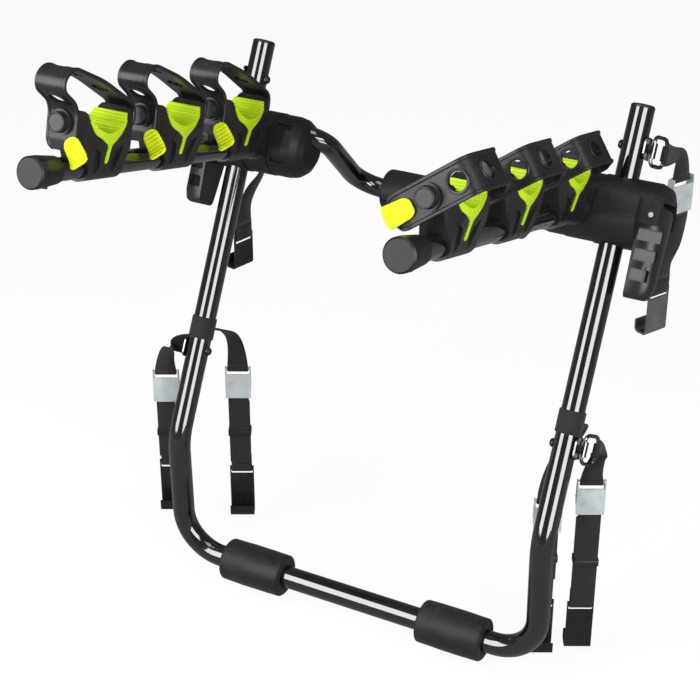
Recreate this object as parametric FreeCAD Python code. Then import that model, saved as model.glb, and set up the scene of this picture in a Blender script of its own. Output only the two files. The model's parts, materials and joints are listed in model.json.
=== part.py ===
import FreeCAD, Part
import math
import os
from FreeCAD import Matrix, Placement, Rotation, Vector

# Car-mounted bike carrier for three bicycles, modelled in millimetres.
# +X is to the right seen from behind the car, +Y points to the car, +Z is up.
# The origin is the middle of the lower crossbar's axis, where the foam pads rest.

# Main frame
half_span = 254.0
frame_r = 14.3
frame_wall = 1.6
plug_bevel = 1.6
knee_height = 167.5
leg_lean = 1.3
upright_lean = 27.0
knee_to_hub = 398.0
hub_to_top = 121.5
corner_r = 57.0
knee_r = 80.0

# Foam pads
foam_r = 28.0
foam_gap = 0.15
pad_bevel = 2.5
lower_pad_length = 86.5
lower_pad_corner_gap = 11.0
lower_pad_inner = half_span - corner_r - lower_pad_corner_gap - lower_pad_length
upper_pad_half = 99.0

# Upper frame
slim_r = 12.7
slim_wall = 1.5
upper_root_y = 5.0
upper_root_z = 17.0
upper_reach = 104.5
upper_drop = 80.0
upper_bend_r = 30.0
pad_bend_r = 40.0
upper_leg_x = 139.0
upper_grip = 19.5

# Hubs, as distances from the middle plane
barrel_r = 41.0
socket_ring_r = 39.8
end_cap_r = 39.0
cap_inset = 103.0
socket_inset = 56.0
housing_inset = 20.0
lever_face_offset = 32.0
housing_end_offset = 62.0
cap_x = half_span - cap_inset
socket_x = half_span - socket_inset
housing_x = half_span - housing_inset
lever_face_x = half_span + lever_face_offset
housing_end_x = half_span + housing_end_offset
hub_gap = 0.3
rim_r = 17.0
dome_r = 26.0
dome_steps = 4
draw_r = 5.0
running = 0.06
disc_outer_r = 30.0
disc_inner_r = 14.0
disc_plate = 3.0
tooth_height = 2.2
tooth_count = 24
tooth_gap = 0.5
nut_r = 8.5
nut_height = 8.0

# Release levers
lever_half_width = 28.0
lever_foot_half_width = 17.5
lever_foot = 95.0
lever_pivot_z = 2.0
lever_thick = 30.0
lever_wall = 3.5
lever_round = 5.0
lever_pin_r = 3.0
window_count = 3
window_first = -21.0
window_pitch = 23.0
window_half = 7.0
lever_gap = 0.4
ear_thick = 6.0

# Carrying arms
arm_inset = 41.0
arm_drift = 3.0
arm_root_x = half_span - arm_inset
arm_tip_x = arm_root_x - arm_drift
arm_length = 497.5
arm_tilt = 15.1
arm_start = 31.0
boss_end = 52.0
cap_face_r = 17.5
cap_neck_r = 15.0
cap_length = 40.0
cap_bevel = 2.0
cap_seat = 26.0

# Cradles, one every cradle_pitch along an arm
cradle_count = 3
cradle_first = 91.0
cradle_tip_inset = 112.5
cradle_pitch = (arm_length - cradle_tip_inset - cradle_first) / (cradle_count - 1)
sleeve_half = 31.5
sleeve_wall = 2.9
valley_r = 34.0
valley_f = 8.0
valley_z = 70.0
lining = 2.5
flange = 1.2
cradle_half_width = 23.0
horn_half_width = 14.5
horn_f = 60.0
lobe_f = 38.5
lobe_top = 64.0
swivel_z = 50.0
button_r = 11.5
button_neck_r = 6.0
button_flange_r = 13.5
stud_r = 5.0
strap_width = 38.0
strap_thick = 4.5
strap_hole_r = 9.5
strap_gap = 0.3
right_strap_turn = 54.0
tab_lean = -37.0
tab_near_left = 20.0
tab_near_right = 18.0
tab_length = 30.0
tab_width = 24.0
tab_thick = 2.4
tab_ribs = 5
tab_rib_pitch = 4.2

# Webbing, buckles and hooks
web_w = 28.0
web_t = 1.6
fold_pitch = 2.2
fold_count = 7
buckle_w = 34.0
buckle_sheet = 1.4
buckle_half = 20.0
cheek_low = 12.0
cheek_out = 5.0
bar_r = 2.0
bar_t = -1.0
bar_z = 22.0
web_line = -4.6
web_gap = 0.3
web_gather = 0.3
cam_t = 0.2
cam_z = 2.0
cam_r = 3.6
cam_pin_r = 1.5
thumb_length = 26.0
thumb_t = 2.0
hook_w = 33.0
hook_t = 2.6
hook_lip = 15.0
slot_slack = 0.6
hook_throat = 18.0
band_t = 1.2
hook_bar = 6.0
hook_slot = 6.0
collar_up = 148.0
ring_r = 2.4
ring_sides = 8
ring_half_height = 17.0
ring_depth = 20.0
ring_turn = 60.0
curl_wall = 2.0
curl_half = 9.0

# Brackets and bolts
upper_bolt_up = 475.0
lower_bolt_up = 119.5
bolt_r = 3.0
bolt_fit = 0.1
bolt_head_r = 5.6
bolt_head_h = 4.0
bracket_t = 2.0
bracket_h = 26.0
bracket_w = 22.0

EX = Vector(1, 0, 0)
EY = Vector(0, 1, 0)
EZ = Vector(0, 0, 1)


def rounded_path(points, radii):
    # A wire of straight runs joined by tangent arcs.
    edges = []
    last = points[0]
    for i in range(1, len(points) - 1):
        corner = points[i]
        back = (points[i - 1] - corner).normalize()
        ahead = (points[i + 1] - corner).normalize()
        half = back.getAngle(ahead) / 2
        r = radii[i - 1]
        run = r / math.tan(half)
        centre_way = (back + ahead).normalize()
        first = corner + back * run
        second = corner + ahead * run
        middle = corner + centre_way * (r / math.sin(half) - r)
        if (first - last).Length > 1e-4:
            edges.append(Part.LineSegment(last, first).toShape())
        edges.append(Part.Arc(first, middle, second).toShape())
        last = second
    if (points[-1] - last).Length > 1e-4:
        edges.append(Part.LineSegment(last, points[-1]).toShape())
    return Part.Wire(edges)


def round_sweep(points, radii, r):
    path = rounded_path(points, radii)
    ring = Part.Circle(points[0], points[1] - points[0], r).toShape()
    return path.makePipeShell([Part.Wire(ring)], True, False)


def hollow_tube(points, radii, r, wall):
    return round_sweep(points, radii, r).cut(round_sweep(points, radii, r - wall))


def ribbon(points, radii, across, width, thick):
    # A flat strap that follows the points, with its width along a fixed direction.
    path = rounded_path(points, radii)
    start = points[0]
    ahead = (points[1] - points[0]).normalize()
    side = Vector(across).normalize() * (width / 2)
    up = ahead.cross(across).normalize() * (thick / 2)
    corners = [start + side + up, start - side + up, start - side - up, start + side - up]
    outline = Part.makePolygon(corners + [corners[0]])
    return path.makePipeShell([outline], True, False)


def box(x0, x1, y0, y1, z0, z1):
    return Part.makeBox(x1 - x0, y1 - y0, z1 - z0, Vector(x0, y0, z0))


def rod(start, way, r, length):
    return Part.makeCylinder(r, length, start, way)


def face_of(edges):
    return Part.Face(Part.Wire(edges))


def polygon_face(points):
    return Part.Face(Part.makePolygon(points + [points[0]]))


def rounded_face(points, radii):
    # A closed outline with every corner rounded by its own radius.
    edges = []
    count = len(points)
    ends = []
    for i in range(count):
        corner = points[i]
        back = (points[i - 1] - corner).normalize()
        ahead = (points[(i + 1) % count] - corner).normalize()
        half = back.getAngle(ahead) / 2
        run = radii[i] / math.tan(half)
        way = (back + ahead).normalize()
        middle = corner + way * (radii[i] / math.sin(half) - radii[i])
        ends.append((corner + back * run, middle, corner + ahead * run))
    for i in range(count):
        first, middle, second = ends[i]
        if radii[i] > 0:
            edges.append(Part.Arc(first, middle, second).toShape())
        follow = ends[(i + 1) % count][0]
        if (follow - second).Length > 1e-4:
            edges.append(Part.LineSegment(second, follow).toShape())
    return face_of(edges)


def mirrored(shape):
    return shape.mirror(Vector(0, 0, 0), EX)


def one(shape):
    # The single solid of a boolean result, with joined faces.
    solids = shape.removeSplitter().Solids
    if len(solids) != 1:
        raise ValueError("expected one solid, found %d" % len(solids))
    return solids[0]


def save(name, shapes):
    body = shapes[0] if len(shapes) == 1 else Part.makeCompound(shapes)
    body.exportStep(os.path.join("parts", name + ".step"))


lean = math.radians(upright_lean)
knee_y = -knee_height * math.tan(math.radians(leg_lean))
up_way = Vector(0, math.sin(lean), math.cos(lean))
knee_mid = Vector(0, knee_y, knee_height)
hub_mid = knee_mid + up_way * knee_to_hub
top_mid = hub_mid + up_way * hub_to_top
hub_turn = Placement(hub_mid, Rotation(EX, -upright_lean))


def on_side(side, middle):
    return Vector(side * half_span, middle.y, middle.z)


def to_hub(shape, side):
    # From the hub's own axes to the object's, on the right (+1) or left (-1).
    placed = shape.copy()
    placed.Placement = hub_turn
    placed = Part.Shape(placed)
    return placed if side > 0 else mirrored(placed)


# Main frame: one bent tube from the right top, round the bottom, to the left top.
def frame_points():
    right = [on_side(1, top_mid), on_side(1, knee_mid), Vector(half_span, 0, 0)]
    left = [Vector(-half_span, 0, 0), on_side(-1, knee_mid), on_side(-1, top_mid)]
    return right + left


def make_main_frame():
    body = hollow_tube(frame_points(), [knee_r, corner_r, corner_r, knee_r], frame_r, frame_wall)
    reach = 2 * (half_span + 3 * frame_r)
    start = Vector(-reach / 2, 0, 0)
    for up in (upper_bolt_up, lower_bolt_up):
        spot = knee_mid + up_way * up
        body = body.cut(rod(start + spot, EX, bolt_r + bolt_fit, reach))
    return one(body.cut(rod(start + hub_mid, EX, draw_r + bolt_fit, reach)))


def make_top_plug(side):
    top = on_side(side, top_mid)
    flange_disc = rod(top, up_way, frame_r, 2.5)
    inner_r = frame_r - frame_wall
    spigot = rod(top - up_way * 16, up_way, inner_r, 16)
    hollow = rod(top - up_way * 16, up_way, inner_r - 2.5, 14)
    rim = Part.makeCone(frame_r, frame_r - plug_bevel, plug_bevel, top + up_way * 2.5, up_way)
    return one(flange_disc.fuse(spigot).cut(hollow).fuse(rim))


def make_lower_pad(side):
    start = Vector(min(side * lower_pad_inner, side * (lower_pad_inner + lower_pad_length)), 0, 0)
    outer = rod(start, EX, foam_r, lower_pad_length)
    rims = [e for e in outer.Edges if e.Curve.TypeId == "Part::GeomCircle"]
    outer = outer.makeChamfer(pad_bevel, rims)
    return outer.cut(rod(start, EX, frame_r + foam_gap, lower_pad_length))


# Upper frame: a slimmer U tube between the hubs, with one long foam pad.
def upper_points():
    top = hub_mid + Vector(0, upper_root_y, upper_root_z)
    low = hub_mid + Vector(0, upper_reach, -upper_drop)
    end_x = cap_x + upper_grip
    points = [top + EX * end_x, top + EX * upper_leg_x, low + EX * upper_leg_x]
    return points + [Vector(-p.x, p.y, p.z) for p in reversed(points)]


def make_upper_tube():
    radii = [upper_bend_r, pad_bend_r, pad_bend_r, upper_bend_r]
    return one(hollow_tube(upper_points(), radii, slim_r, slim_wall))


def make_upper_pad():
    start = hub_mid + Vector(-upper_pad_half, upper_reach, -upper_drop)
    outer = rod(start, EX, foam_r, 2 * upper_pad_half)
    rims = [e for e in outer.Edges if e.Curve.TypeId == "Part::GeomCircle"]
    outer = outer.makeChamfer(pad_bevel, rims)
    return outer.cut(rod(start, EX, slim_r + foam_gap, 2 * upper_pad_half))


# Hubs, built upright on the right with x as the distance from the middle plane.
def disc_with_teeth(face_x, side):
    # A clamping disc whose radial teeth point along +x (side 1) or -x (side -1).
    plate = rod(Vector(face_x, 0, 0), EX * -side, disc_outer_r, disc_plate)
    half = math.pi * disc_inner_r / tooth_count
    foot = disc_inner_r + 2
    ridge = [Vector(0, -half, foot), Vector(0, half, foot), Vector(side * tooth_height, 0, foot)]
    tooth = polygon_face(ridge).extrude(Vector(0, 0, disc_outer_r - 1 - foot))
    teeth = []
    for i in range(tooth_count):
        copy = tooth.copy()
        copy.rotate(Vector(0, 0, 0), EX, 360.0 * i / tooth_count)
        copy.translate(Vector(face_x, 0, 0))
        teeth.append(copy)
    return plate.fuse(teeth)


def hub_bore(shape, r, x0, x1):
    return shape.cut(rod(Vector(x0, 0, 0), EX, r, x1 - x0))


disc_seat = disc_plate + tooth_height + tooth_gap / 2


def make_disc(joint_x, side):
    # side 1 sits inboard of the joint and its teeth point outboard.
    face_x = joint_x - side * (tooth_height + tooth_gap / 2)
    return one(hub_bore(disc_with_teeth(face_x, side), disc_inner_r, joint_x - 20, joint_x + 20))


def make_end_cap():
    # The inboard shell of a hub: a domed cup that grips the upper frame tube.
    end_x = socket_x - hub_gap / 2
    r = end_cap_r
    a = Vector(cap_x, 0, 0)
    b = Vector(cap_x, r - dome_r, 0)
    c = Vector(cap_x + dome_r, r, 0)
    d = Vector(end_x, r, 0)
    e = Vector(end_x, 0, 0)
    dome = [dome_point(dome_r, 90 * i / dome_steps) for i in range(1, dome_steps)]
    body = polygon_face([a, b] + dome + [c, d, e]).revolve(Vector(0, 0, 0), EX, 360)
    body = Part.Solid(body) if body.ShapeType != "Solid" else body
    pocket_x = cap_x + upper_grip + 2.5
    body = hub_bore(body, disc_outer_r + 0.1, end_x - disc_seat, end_x + 1)
    body = hub_bore(body, nut_r + 2, pocket_x, end_x)
    for turn in (-65, 0, 65):
        window = box(cap_x + 20, cap_x + 42, -4, 4, r - 2.2, r + 5)
        window.rotate(Vector(0, 0, 0), EX, turn + 58)
        body = body.cut(window)
    return body


def dome_point(r, degrees):
    # A point of the dome's profile, that many degrees round from its inboard face.
    turn = math.radians(degrees)
    return Vector(cap_x + r - r * math.cos(turn), end_cap_r - r + r * math.sin(turn), 0)


def make_placed_cap(side):
    grip = round_sweep(upper_points(), [upper_bend_r, pad_bend_r, pad_bend_r, upper_bend_r], slim_r)
    return one(to_hub(make_end_cap(), side).cut(grip))


def make_arm_socket():
    x0 = socket_x + hub_gap / 2
    x1 = housing_x - hub_gap / 2
    body = rod(Vector(x0, 0, 0), EX, socket_ring_r, x1 - x0)
    for rim_x, way in ((x0, 1), (x1, -1)):
        body = hub_bore(body, disc_outer_r + 0.1, min(rim_x, rim_x + way * disc_seat),
                        max(rim_x, rim_x + way * disc_seat))
    return hub_bore(body, draw_r + running, x0, x1)


def make_housing():
    # The fixed shell on the upright, open below on its outer face for the lever.
    x0 = housing_x + hub_gap / 2
    r = barrel_r
    a = Vector(x0, 0, 0)
    b = Vector(x0, r, 0)
    c = Vector(housing_end_x - rim_r, r, 0)
    slack = rim_r * (1 - math.sqrt(0.5))
    bow = Vector(housing_end_x - slack, r - slack, 0)
    d = Vector(housing_end_x, r - rim_r, 0)
    e = Vector(housing_end_x, 0, 0)
    body = polygon_face([a, b, c, bow, d, e]).revolve(Vector(0, 0, 0), EX, 360)
    body = Part.Solid(body) if body.ShapeType != "Solid" else body
    wide = lever_half_width + lever_gap
    far = barrel_r + 10
    body = body.cut(box(lever_face_x, housing_end_x + 9, -wide, wide, -far, lever_pivot_z + lever_thick / 2 + 0.8))
    body = body.cut(box(lever_face_x, housing_end_x + 9, -far, far, -far, lever_pivot_z - 11))
    body = body.cut(box(lever_face_x, housing_end_x + 9, wide + ear_thick, far, -far, far))
    body = body.cut(box(lever_face_x, housing_end_x + 9, -far, -wide - ear_thick, -far, far))
    upright = rod(Vector(half_span, 0, -far), EZ, frame_r, 2 * far)
    body = body.cut(upright)
    body = hub_bore(body, disc_outer_r + 0.1, x0, x0 + disc_seat)
    body = hub_bore(body, draw_r + bolt_fit, x0, lever_face_x + 1)
    pin = rod(Vector(lever_pivot_x, -wide - ear_thick - 1, lever_pivot_z), EY,
              lever_pin_r, 2 * wide + 2 * ear_thick + 2)
    return one(body.cut(pin))


lever_pivot_x = lever_face_x + lever_gap + lever_thick / 2


def make_lever_pin():
    half = lever_half_width + lever_gap + ear_thick - 0.5
    return rod(Vector(lever_pivot_x, -half, lever_pivot_z), EY, lever_pin_r, 2 * half)


def make_draw_bolt():
    shank = rod(Vector(cap_x + 27, 0, 0), EX, draw_r, lever_face_x - cap_x - 27.5)
    nut = rod(Vector(cap_x + 27, 0, 0), EX, nut_r, nut_height)
    return one(shank.fuse(nut))


def make_lever():
    # A tapered thumb lever: a shell, round at its hinge, with three windows.
    x0 = lever_face_x + lever_gap
    x1 = x0 + lever_thick
    top_r = lever_thick / 2
    side = [Vector(x0, 0, -lever_foot), Vector(x1 - 4, 0, -lever_foot),
            Vector(x1, 0, -lever_foot + 16), Vector(x1, 0, lever_pivot_z)]
    arc = Part.Arc(Vector(x1, 0, lever_pivot_z), Vector(x0 + top_r, 0, lever_pivot_z + top_r),
                   Vector(x0, 0, lever_pivot_z)).toShape()
    edges = [Part.LineSegment(side[i], side[i + 1]).toShape() for i in range(3)]
    edges += [arc, Part.LineSegment(Vector(x0, 0, lever_pivot_z), side[0]).toShape()]
    wide = lever_half_width
    foot = lever_foot_half_width
    profile = face_of(edges)
    profile.translate(Vector(0, -wide, 0))
    body = profile.extrude(Vector(0, 2 * wide, 0))
    low = -lever_foot
    high = lever_pivot_z + top_r + 1
    body = body.common(lever_blank(x0 - 1, x1, low - 1, high, 0, lever_round))
    wall = lever_wall
    inner = lever_blank(x0 - 1, x1 - wall, low + wall, high, wall, lever_round - wall / 2)
    inner = inner.cut(rod(Vector(lever_pivot_x, -wide, lever_pivot_z), EY, lever_pin_r + 5, 2 * wide))
    top_skin = rod(Vector(lever_pivot_x, -wide, lever_pivot_z), EY, top_r - wall, 2 * wide)
    below = box(x0 - 2, x1, -wide, wide, low, lever_pivot_z)
    body = body.cut(inner.common(top_skin.fuse(below)))
    for i in range(window_count):
        z = window_first - window_pitch * i
        window = [Vector(x0 + 5, -wide - 1, z - window_half), Vector(x1 + 1, -wide - 1, z - window_half),
                  Vector(x1 + 1, -wide - 1, z + window_half), Vector(x0 + 5, -wide - 1, z + window_half)]
        depth = 20.0 + 3.0 * i
        body = body.cut(rounded_face(window, [2.0] * 4).extrude(Vector(0, depth, 0)))
    pin = rod(Vector(lever_pivot_x, -wide - 1, lever_pivot_z), EY, lever_pin_r + running, 2 * wide + 2)
    return one(body.cut(pin))


def lever_blank(x0, x1, low, high, inset, r):
    # A bar with two rounded edges that narrows to its foot.
    wide = lever_half_width - inset
    foot = lever_foot_half_width - inset
    sections = []
    for z, left, right in ((high, -wide, wide), (-8, -wide, wide), (low, -foot - 4, foot - 4)):
        outline = [Vector(x0, left, z), Vector(x1, left, z), Vector(x1, right, z), Vector(x0, right, z)]
        sections.append(rounded_face(outline, [0.5, r, r, 0.5]).OuterWire)
    return Part.makeLoft(sections, True, True)


# Arms
def arm_axes(side):
    # Local x is across, local y points back to the car, local z is up.
    tilt = math.radians(arm_tilt)
    drift = side * (arm_tip_x - arm_root_x) / arm_length
    to_tip = Vector(drift, -math.cos(tilt), math.sin(tilt)).normalize()
    back = to_tip * -1
    up = EX.cross(back).normalize()
    across = back.cross(up)
    return across, back, up


def on_arm(shape, side, distance):
    # Moves a shape from arm coordinates to its place along an arm.
    across, back, up = arm_axes(side)
    start = Vector(side * arm_root_x, hub_mid.y, hub_mid.z) - back * distance
    matrix = Matrix(across.x, back.x, up.x, start.x, across.y, back.y, up.y, start.y,
                    across.z, back.z, up.z, start.z, 0, 0, 0, 1)
    placed = shape.copy()
    placed.Placement = Placement(matrix)
    return Part.Shape(placed)


def tip_rod(r, near, far):
    # A rod along the arm from one distance to another, towards the tip.
    return rod(Vector(0, -near, 0), EY * -1, r, far - near)


def make_arm_tube():
    end = arm_length - cap_length + cap_seat
    return tip_rod(slim_r, arm_start, end).cut(tip_rod(slim_r - slim_wall, arm_start, end))


def make_arm_cap():
    start = arm_length - cap_length
    taper = Part.makeCone(cap_neck_r, cap_face_r, cap_length - 12, Vector(0, -start, 0), EY * -1)
    head = tip_rod(cap_face_r, arm_length - 12, arm_length)
    rim = [e for e in head.Edges if abs(e.BoundBox.YMin + arm_length) < 0.01
           and e.BoundBox.YLength < 0.01]
    head = head.makeChamfer(cap_bevel, rim)
    stub = rod(Vector(0, -start - 12, -cap_neck_r - 3.5), EZ, 3.0, 6)
    return one(taper.fuse(head).fuse(stub).cut(tip_rod(slim_r, start - 1, start + cap_seat)))


def make_socket(side):
    # The ring that clamps on the hub, with a boss that grips the arm tube.
    cone = Part.makeCone(slim_r + 11, slim_r + 4.5, boss_end - 20, Vector(0, -20, 0), EY * -1)
    bore = tip_rod(slim_r, arm_start, boss_end + 30)
    x0 = socket_x + hub_gap / 2
    x1 = housing_x - hub_gap / 2
    axle = to_hub(rod(Vector(x0, 0, 0), EX, draw_r + running, x1 - x0), side)
    body = to_hub(make_arm_socket(), side).fuse(on_arm(cone, side, 0)).cut(axle)
    for rim_x, way in ((x0, 1), (x1, -1)):
        low = min(rim_x - way * 20, rim_x + way * disc_seat)
        high = max(rim_x - way * 20, rim_x + way * disc_seat)
        body = body.cut(to_hub(rod(Vector(low, 0, 0), EX, disc_outer_r + 0.1, high - low), side))
    body = body.cut(to_hub(rod(Vector(x0 - 20, 0, 0), EX, barrel_r + 30, 20), side))
    body = body.cut(to_hub(rod(Vector(x1, 0, 0), EX, barrel_r + 30, 20), side))
    return one(body.cut(on_arm(bore, side, 0)))


# Cradles, in arm coordinates with the sleeve's middle at the origin.
def f_z(f, z):
    # A point of the side outline, f towards the arm's tip.
    return Vector(0, -f, z)


def valley_points(r):
    # Where a valley of radius r ends, level on both sides.
    half = math.sqrt(valley_r ** 2 - (valley_z - rim_z) ** 2) * r / valley_r
    drop = math.sqrt(r ** 2 - half ** 2)
    return (valley_f - half, valley_f + half, valley_z - drop)


rim_z = 58.5


def side_outline():
    rear_f, front_f, z = valley_points(valley_r)
    low = valley_z - valley_r
    start = f_z(-sleeve_half, 0)
    edges = [Part.LineSegment(start, f_z(-lobe_f, 26)).toShape()]
    edges.append(Part.LineSegment(f_z(-lobe_f, 26), f_z(-lobe_f, 54)).toShape())
    edges.append(Part.Arc(f_z(-lobe_f, 54), f_z(-34.5, 62.5), f_z(-28, lobe_top)).toShape())
    edges.append(Part.LineSegment(f_z(-28, lobe_top), f_z(rear_f, z)).toShape())
    edges.append(Part.Arc(f_z(rear_f, z), f_z(valley_f, low), f_z(front_f, z)).toShape())
    edges.append(Part.Arc(f_z(front_f, z), f_z(52, 62), f_z(horn_f, 53)).toShape())
    edges.append(Part.LineSegment(f_z(horn_f, 53), f_z(horn_f, 41)).toShape())
    edges.append(Part.Arc(f_z(horn_f, 41), f_z(44, 18), f_z(sleeve_half, 0)).toShape())
    edges.append(Part.LineSegment(f_z(sleeve_half, 0), start).toShape())
    return face_of(edges)


def flank_block(grow):
    # The cradle's cross shape seen from the tip, met by its plan shape.
    w = cradle_half_width + grow
    sleeve_r = slim_r + sleeve_wall + grow
    top = lobe_top + grow + 2
    rounded = [Vector(-sleeve_r, 80, 0), Vector(-w + 1, 80, 31), Vector(-w, 80, 48), Vector(-w + 7, 80, top),
               Vector(w - 7, 80, top), Vector(w, 80, 48), Vector(w - 1, 80, 31), Vector(sleeve_r, 80, 0)]
    front = rounded_face(rounded, [0.01, 20, 20, 9, 9, 20, 20, 0.01]).extrude(Vector(0, -160, 0))
    horn = horn_half_width + grow
    back = lobe_f + 3 + grow
    plan = [Vector(-w - 1, back, -1), Vector(w + 1, back, -1), Vector(w + 1, -14, -1),
            Vector(horn, -44, -1), Vector(horn, -horn_f - 9, -1), Vector(-horn, -horn_f - 9, -1),
            Vector(-horn, -44, -1), Vector(-w - 1, -14, -1)]
    outline = rounded_face(plan, [16, 16, 30, 20, 1, 1, 20, 30]).extrude(Vector(0, 0, top + 9))
    return front.common(outline)


def sleeve_rod(r, half):
    return rod(Vector(0, -half, 0), EY, r, 2 * half)


def leaf(side):
    points = [f_z(31, 25), f_z(17, 18), f_z(13, 3), f_z(21, -7), f_z(27, 7)]
    if side < 0:
        points = [f_z(2 * 4 - (-p.y), p.z) for p in points]
    face = rounded_face(points, [1.5, 2, 2, 1.5, 4])
    face.translate(Vector(-cradle_half_width - 3, 0, 0))
    return face.extrude(Vector(2 * cradle_half_width + 6, 0, 0))


def lining_zone(outer_r, inner_r):
    face = Part.Face(Part.Wire(Part.Circle(f_z(valley_f, valley_z), EX, outer_r).toShape()))
    disc = face.extrude(Vector(2 * cradle_half_width + 6, 0, 0))
    hole = Part.Face(Part.Wire(Part.Circle(f_z(valley_f, valley_z), EX, inner_r).toShape()))
    ring = disc.cut(hole.extrude(Vector(2 * cradle_half_width + 6, 0, 0)))
    ring.translate(Vector(-cradle_half_width - 3, 0, 0))
    return ring


def tulip():
    # The side flange of the lining and its tail, as one flat outline.
    stem = 2.8
    points = [f_z(valley_f - 30, 52), f_z(valley_f - 22, 38), f_z(4 - stem, 25), f_z(4 - stem, 5),
              f_z(4 + stem, 5), f_z(4 + stem, 25), f_z(valley_f + 22, 38), f_z(valley_f + 30, 52)]
    face = rounded_face(points, [1, 16, 6, 2.7, 2.7, 6, 16, 1])
    face.translate(Vector(-cradle_half_width - 3, 0, 0))
    return face.extrude(Vector(2 * cradle_half_width + 6, 0, 0))


def make_cradle_body():
    width = cradle_half_width + 3
    profile = side_outline()
    profile.translate(Vector(-width, 0, 0))
    core = flank_block(0)
    body = profile.extrude(Vector(2 * width, 0, 0)).common(core)
    body = body.fuse(sleeve_rod(slim_r + sleeve_wall, sleeve_half))
    keep = flank_block(-3.2).fuse(sleeve_rod(slim_r + 1.6, sleeve_half + 1))
    for side in (1, -1):
        body = body.cut(leaf(side).cut(keep))
    body = body.cut(sleeve_rod(slim_r + running, sleeve_half + 20))
    face = f_z(horn_f, swivel_z)
    back = f_z(-lobe_f, swivel_z)
    reach = 2 * strap_gap + strap_thick
    neck = rod(face - EY * -4, EY * -1, button_neck_r, reach + 4)
    ring = rod(face + EY * -reach, EY * -1, button_flange_r, 2.4)
    head = Part.makeCone(button_r, button_r - 1.0, 7.0, face + EY * -(reach + 2.4), EY * -1)
    stud = rod(back - EY * 4, EY, stud_r, reach + 4)
    stud_head = Part.makeCone(stud_r + 3.5, stud_r + 1.5, 2.6, back + EY * reach, EY)
    return one(body.fuse([neck, ring, head, stud, stud_head]))


def make_cradle_insert():
    ring = lining_zone(valley_r, valley_r - lining).common(flank_block(flange))
    rear_f, front_f, z = valley_points(valley_r)
    keep = box(-40, 40, -front_f - 1, -rear_f + 1, 0, z)
    lips = tulip().common(flank_block(flange)).cut(flank_block(0))
    lips = lips.cut(Part.makeCylinder(valley_r - lining, 80, Vector(-40, -valley_f, valley_z), EX))
    body = ring.common(keep).fuse(lips)
    groove_r = valley_r - lining
    for i in range(-4, 5):
        angle = math.radians(12.0 * i)
        spot = Vector(-40, -valley_f - groove_r * math.sin(angle), valley_z - groove_r * math.cos(angle))
        body = body.cut(Part.makeCylinder(0.8, 80, spot, EX))
    return one(body)


def strap_route(kind):
    # Points as (v, f): v is measured from the swivel line, f towards the tip.
    front = horn_f + strap_gap + strap_thick / 2
    rear = -lobe_f - strap_gap - strap_thick / 2
    if kind == "left":
        points = [(-30, front - 2), (-18, front), (18, front), (38, 95), (59, 77), (43, 20), (16, rear), (-11, rear)]
        radii = [20, 8, 10, 16, 60, 8]
        holes = [(26, 76), (51, 48), (34, 0)]
    else:
        points = [(-44, front - 3), (-26, front), (50, front), (58, 14), (28, rear), (-11, rear)]
        radii = [40, 13, 12, 10]
        holes = [(33, front), (54, 40)]
    return points, radii, holes


def strap_frame(kind):
    turn = 0.0 if kind == "left" else math.radians(right_strap_turn)
    v = Vector(math.sin(turn), 0, math.cos(turn))
    w = Vector(math.cos(turn), 0, -math.sin(turn))
    return v, w


def make_cradle_strap(kind):
    points, radii, holes = strap_route(kind)
    v, w = strap_frame(kind)
    swivel = Vector(0, 0, swivel_z)
    route = [swivel + v * p[0] - EY * p[1] for p in points]
    body = ribbon(route, radii, w, strap_width, strap_thick)
    reach = strap_thick + 4
    path = rounded_path(route, radii)
    front = swivel - EY * (horn_f + strap_gap / 2)
    body = body.cut(rod(front, EY * -1, button_neck_r + 0.6, reach))
    rear = swivel + EY * (lobe_f + strap_gap / 2)
    body = body.cut(rod(rear, EY, stud_r + 0.4, reach))
    for hole in holes:
        spot = swivel + v * hole[0] - EY * hole[1]
        near, way = nearest_normal(path, spot, w)
        body = body.cut(rod(near - way * 8, way, strap_hole_r, 16))
    return one(body)


def nearest_normal(path, spot, w):
    # The nearest point of the route, and the way square to the strap there.
    found = path.distToShape(Part.Vertex(spot))[1][0][0]
    best = None
    for edge in path.Edges:
        gap = edge.distToShape(Part.Vertex(found))[0]
        if best is None or gap < best[0]:
            best = (gap, edge)
    edge = best[1]
    along = edge.tangentAt(edge.Curve.parameter(found))
    return found, along.cross(w).normalize()


def make_strap_tab(kind):
    # The ribbed thumb tab moulded on the strap's free end.
    # It hangs along the strap on the right, and leans inboard on the left.
    turn = math.radians(tab_lean if kind == "left" else right_strap_turn)
    near = tab_near_left if kind == "left" else tab_near_right
    v = Vector(math.sin(turn), 0, math.cos(turn))
    w = Vector(math.cos(turn), 0, -math.sin(turn))
    swivel = Vector(0, 0, swivel_z)
    out = horn_f + strap_gap + strap_thick
    half = tab_thick / 2
    low = near + tab_length
    route = [swivel - v * low - EY * (out + half + 4), swivel - v * (low - 8) - EY * (out + half),
             swivel - v * near - EY * (out + half)]
    body = ribbon(route, [14], w, tab_width, tab_thick)
    for i in range(tab_ribs):
        spot = swivel - v * (near + 4 + tab_rib_pitch * i) - EY * (out + tab_thick)
        rib = rod(spot - w * (tab_width / 2 - 2), w, 0.9, tab_width - 4)
        body = body.fuse(rib)
    return one(body)


# Strap brackets, rings and bolts, in upright coordinates about the bolt.
curl_x = frame_r + bracket_t + ring_r + 0.2
curl_y = bracket_w / 2 + 2.0


def on_upright(shape, side, up):
    spot = knee_mid + up_way * up + EX * half_span
    placed = shape.copy()
    placed.Placement = Placement(spot, Rotation(EX, -upright_lean))
    placed = Part.Shape(placed)
    return placed if side > 0 else mirrored(placed)


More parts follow.
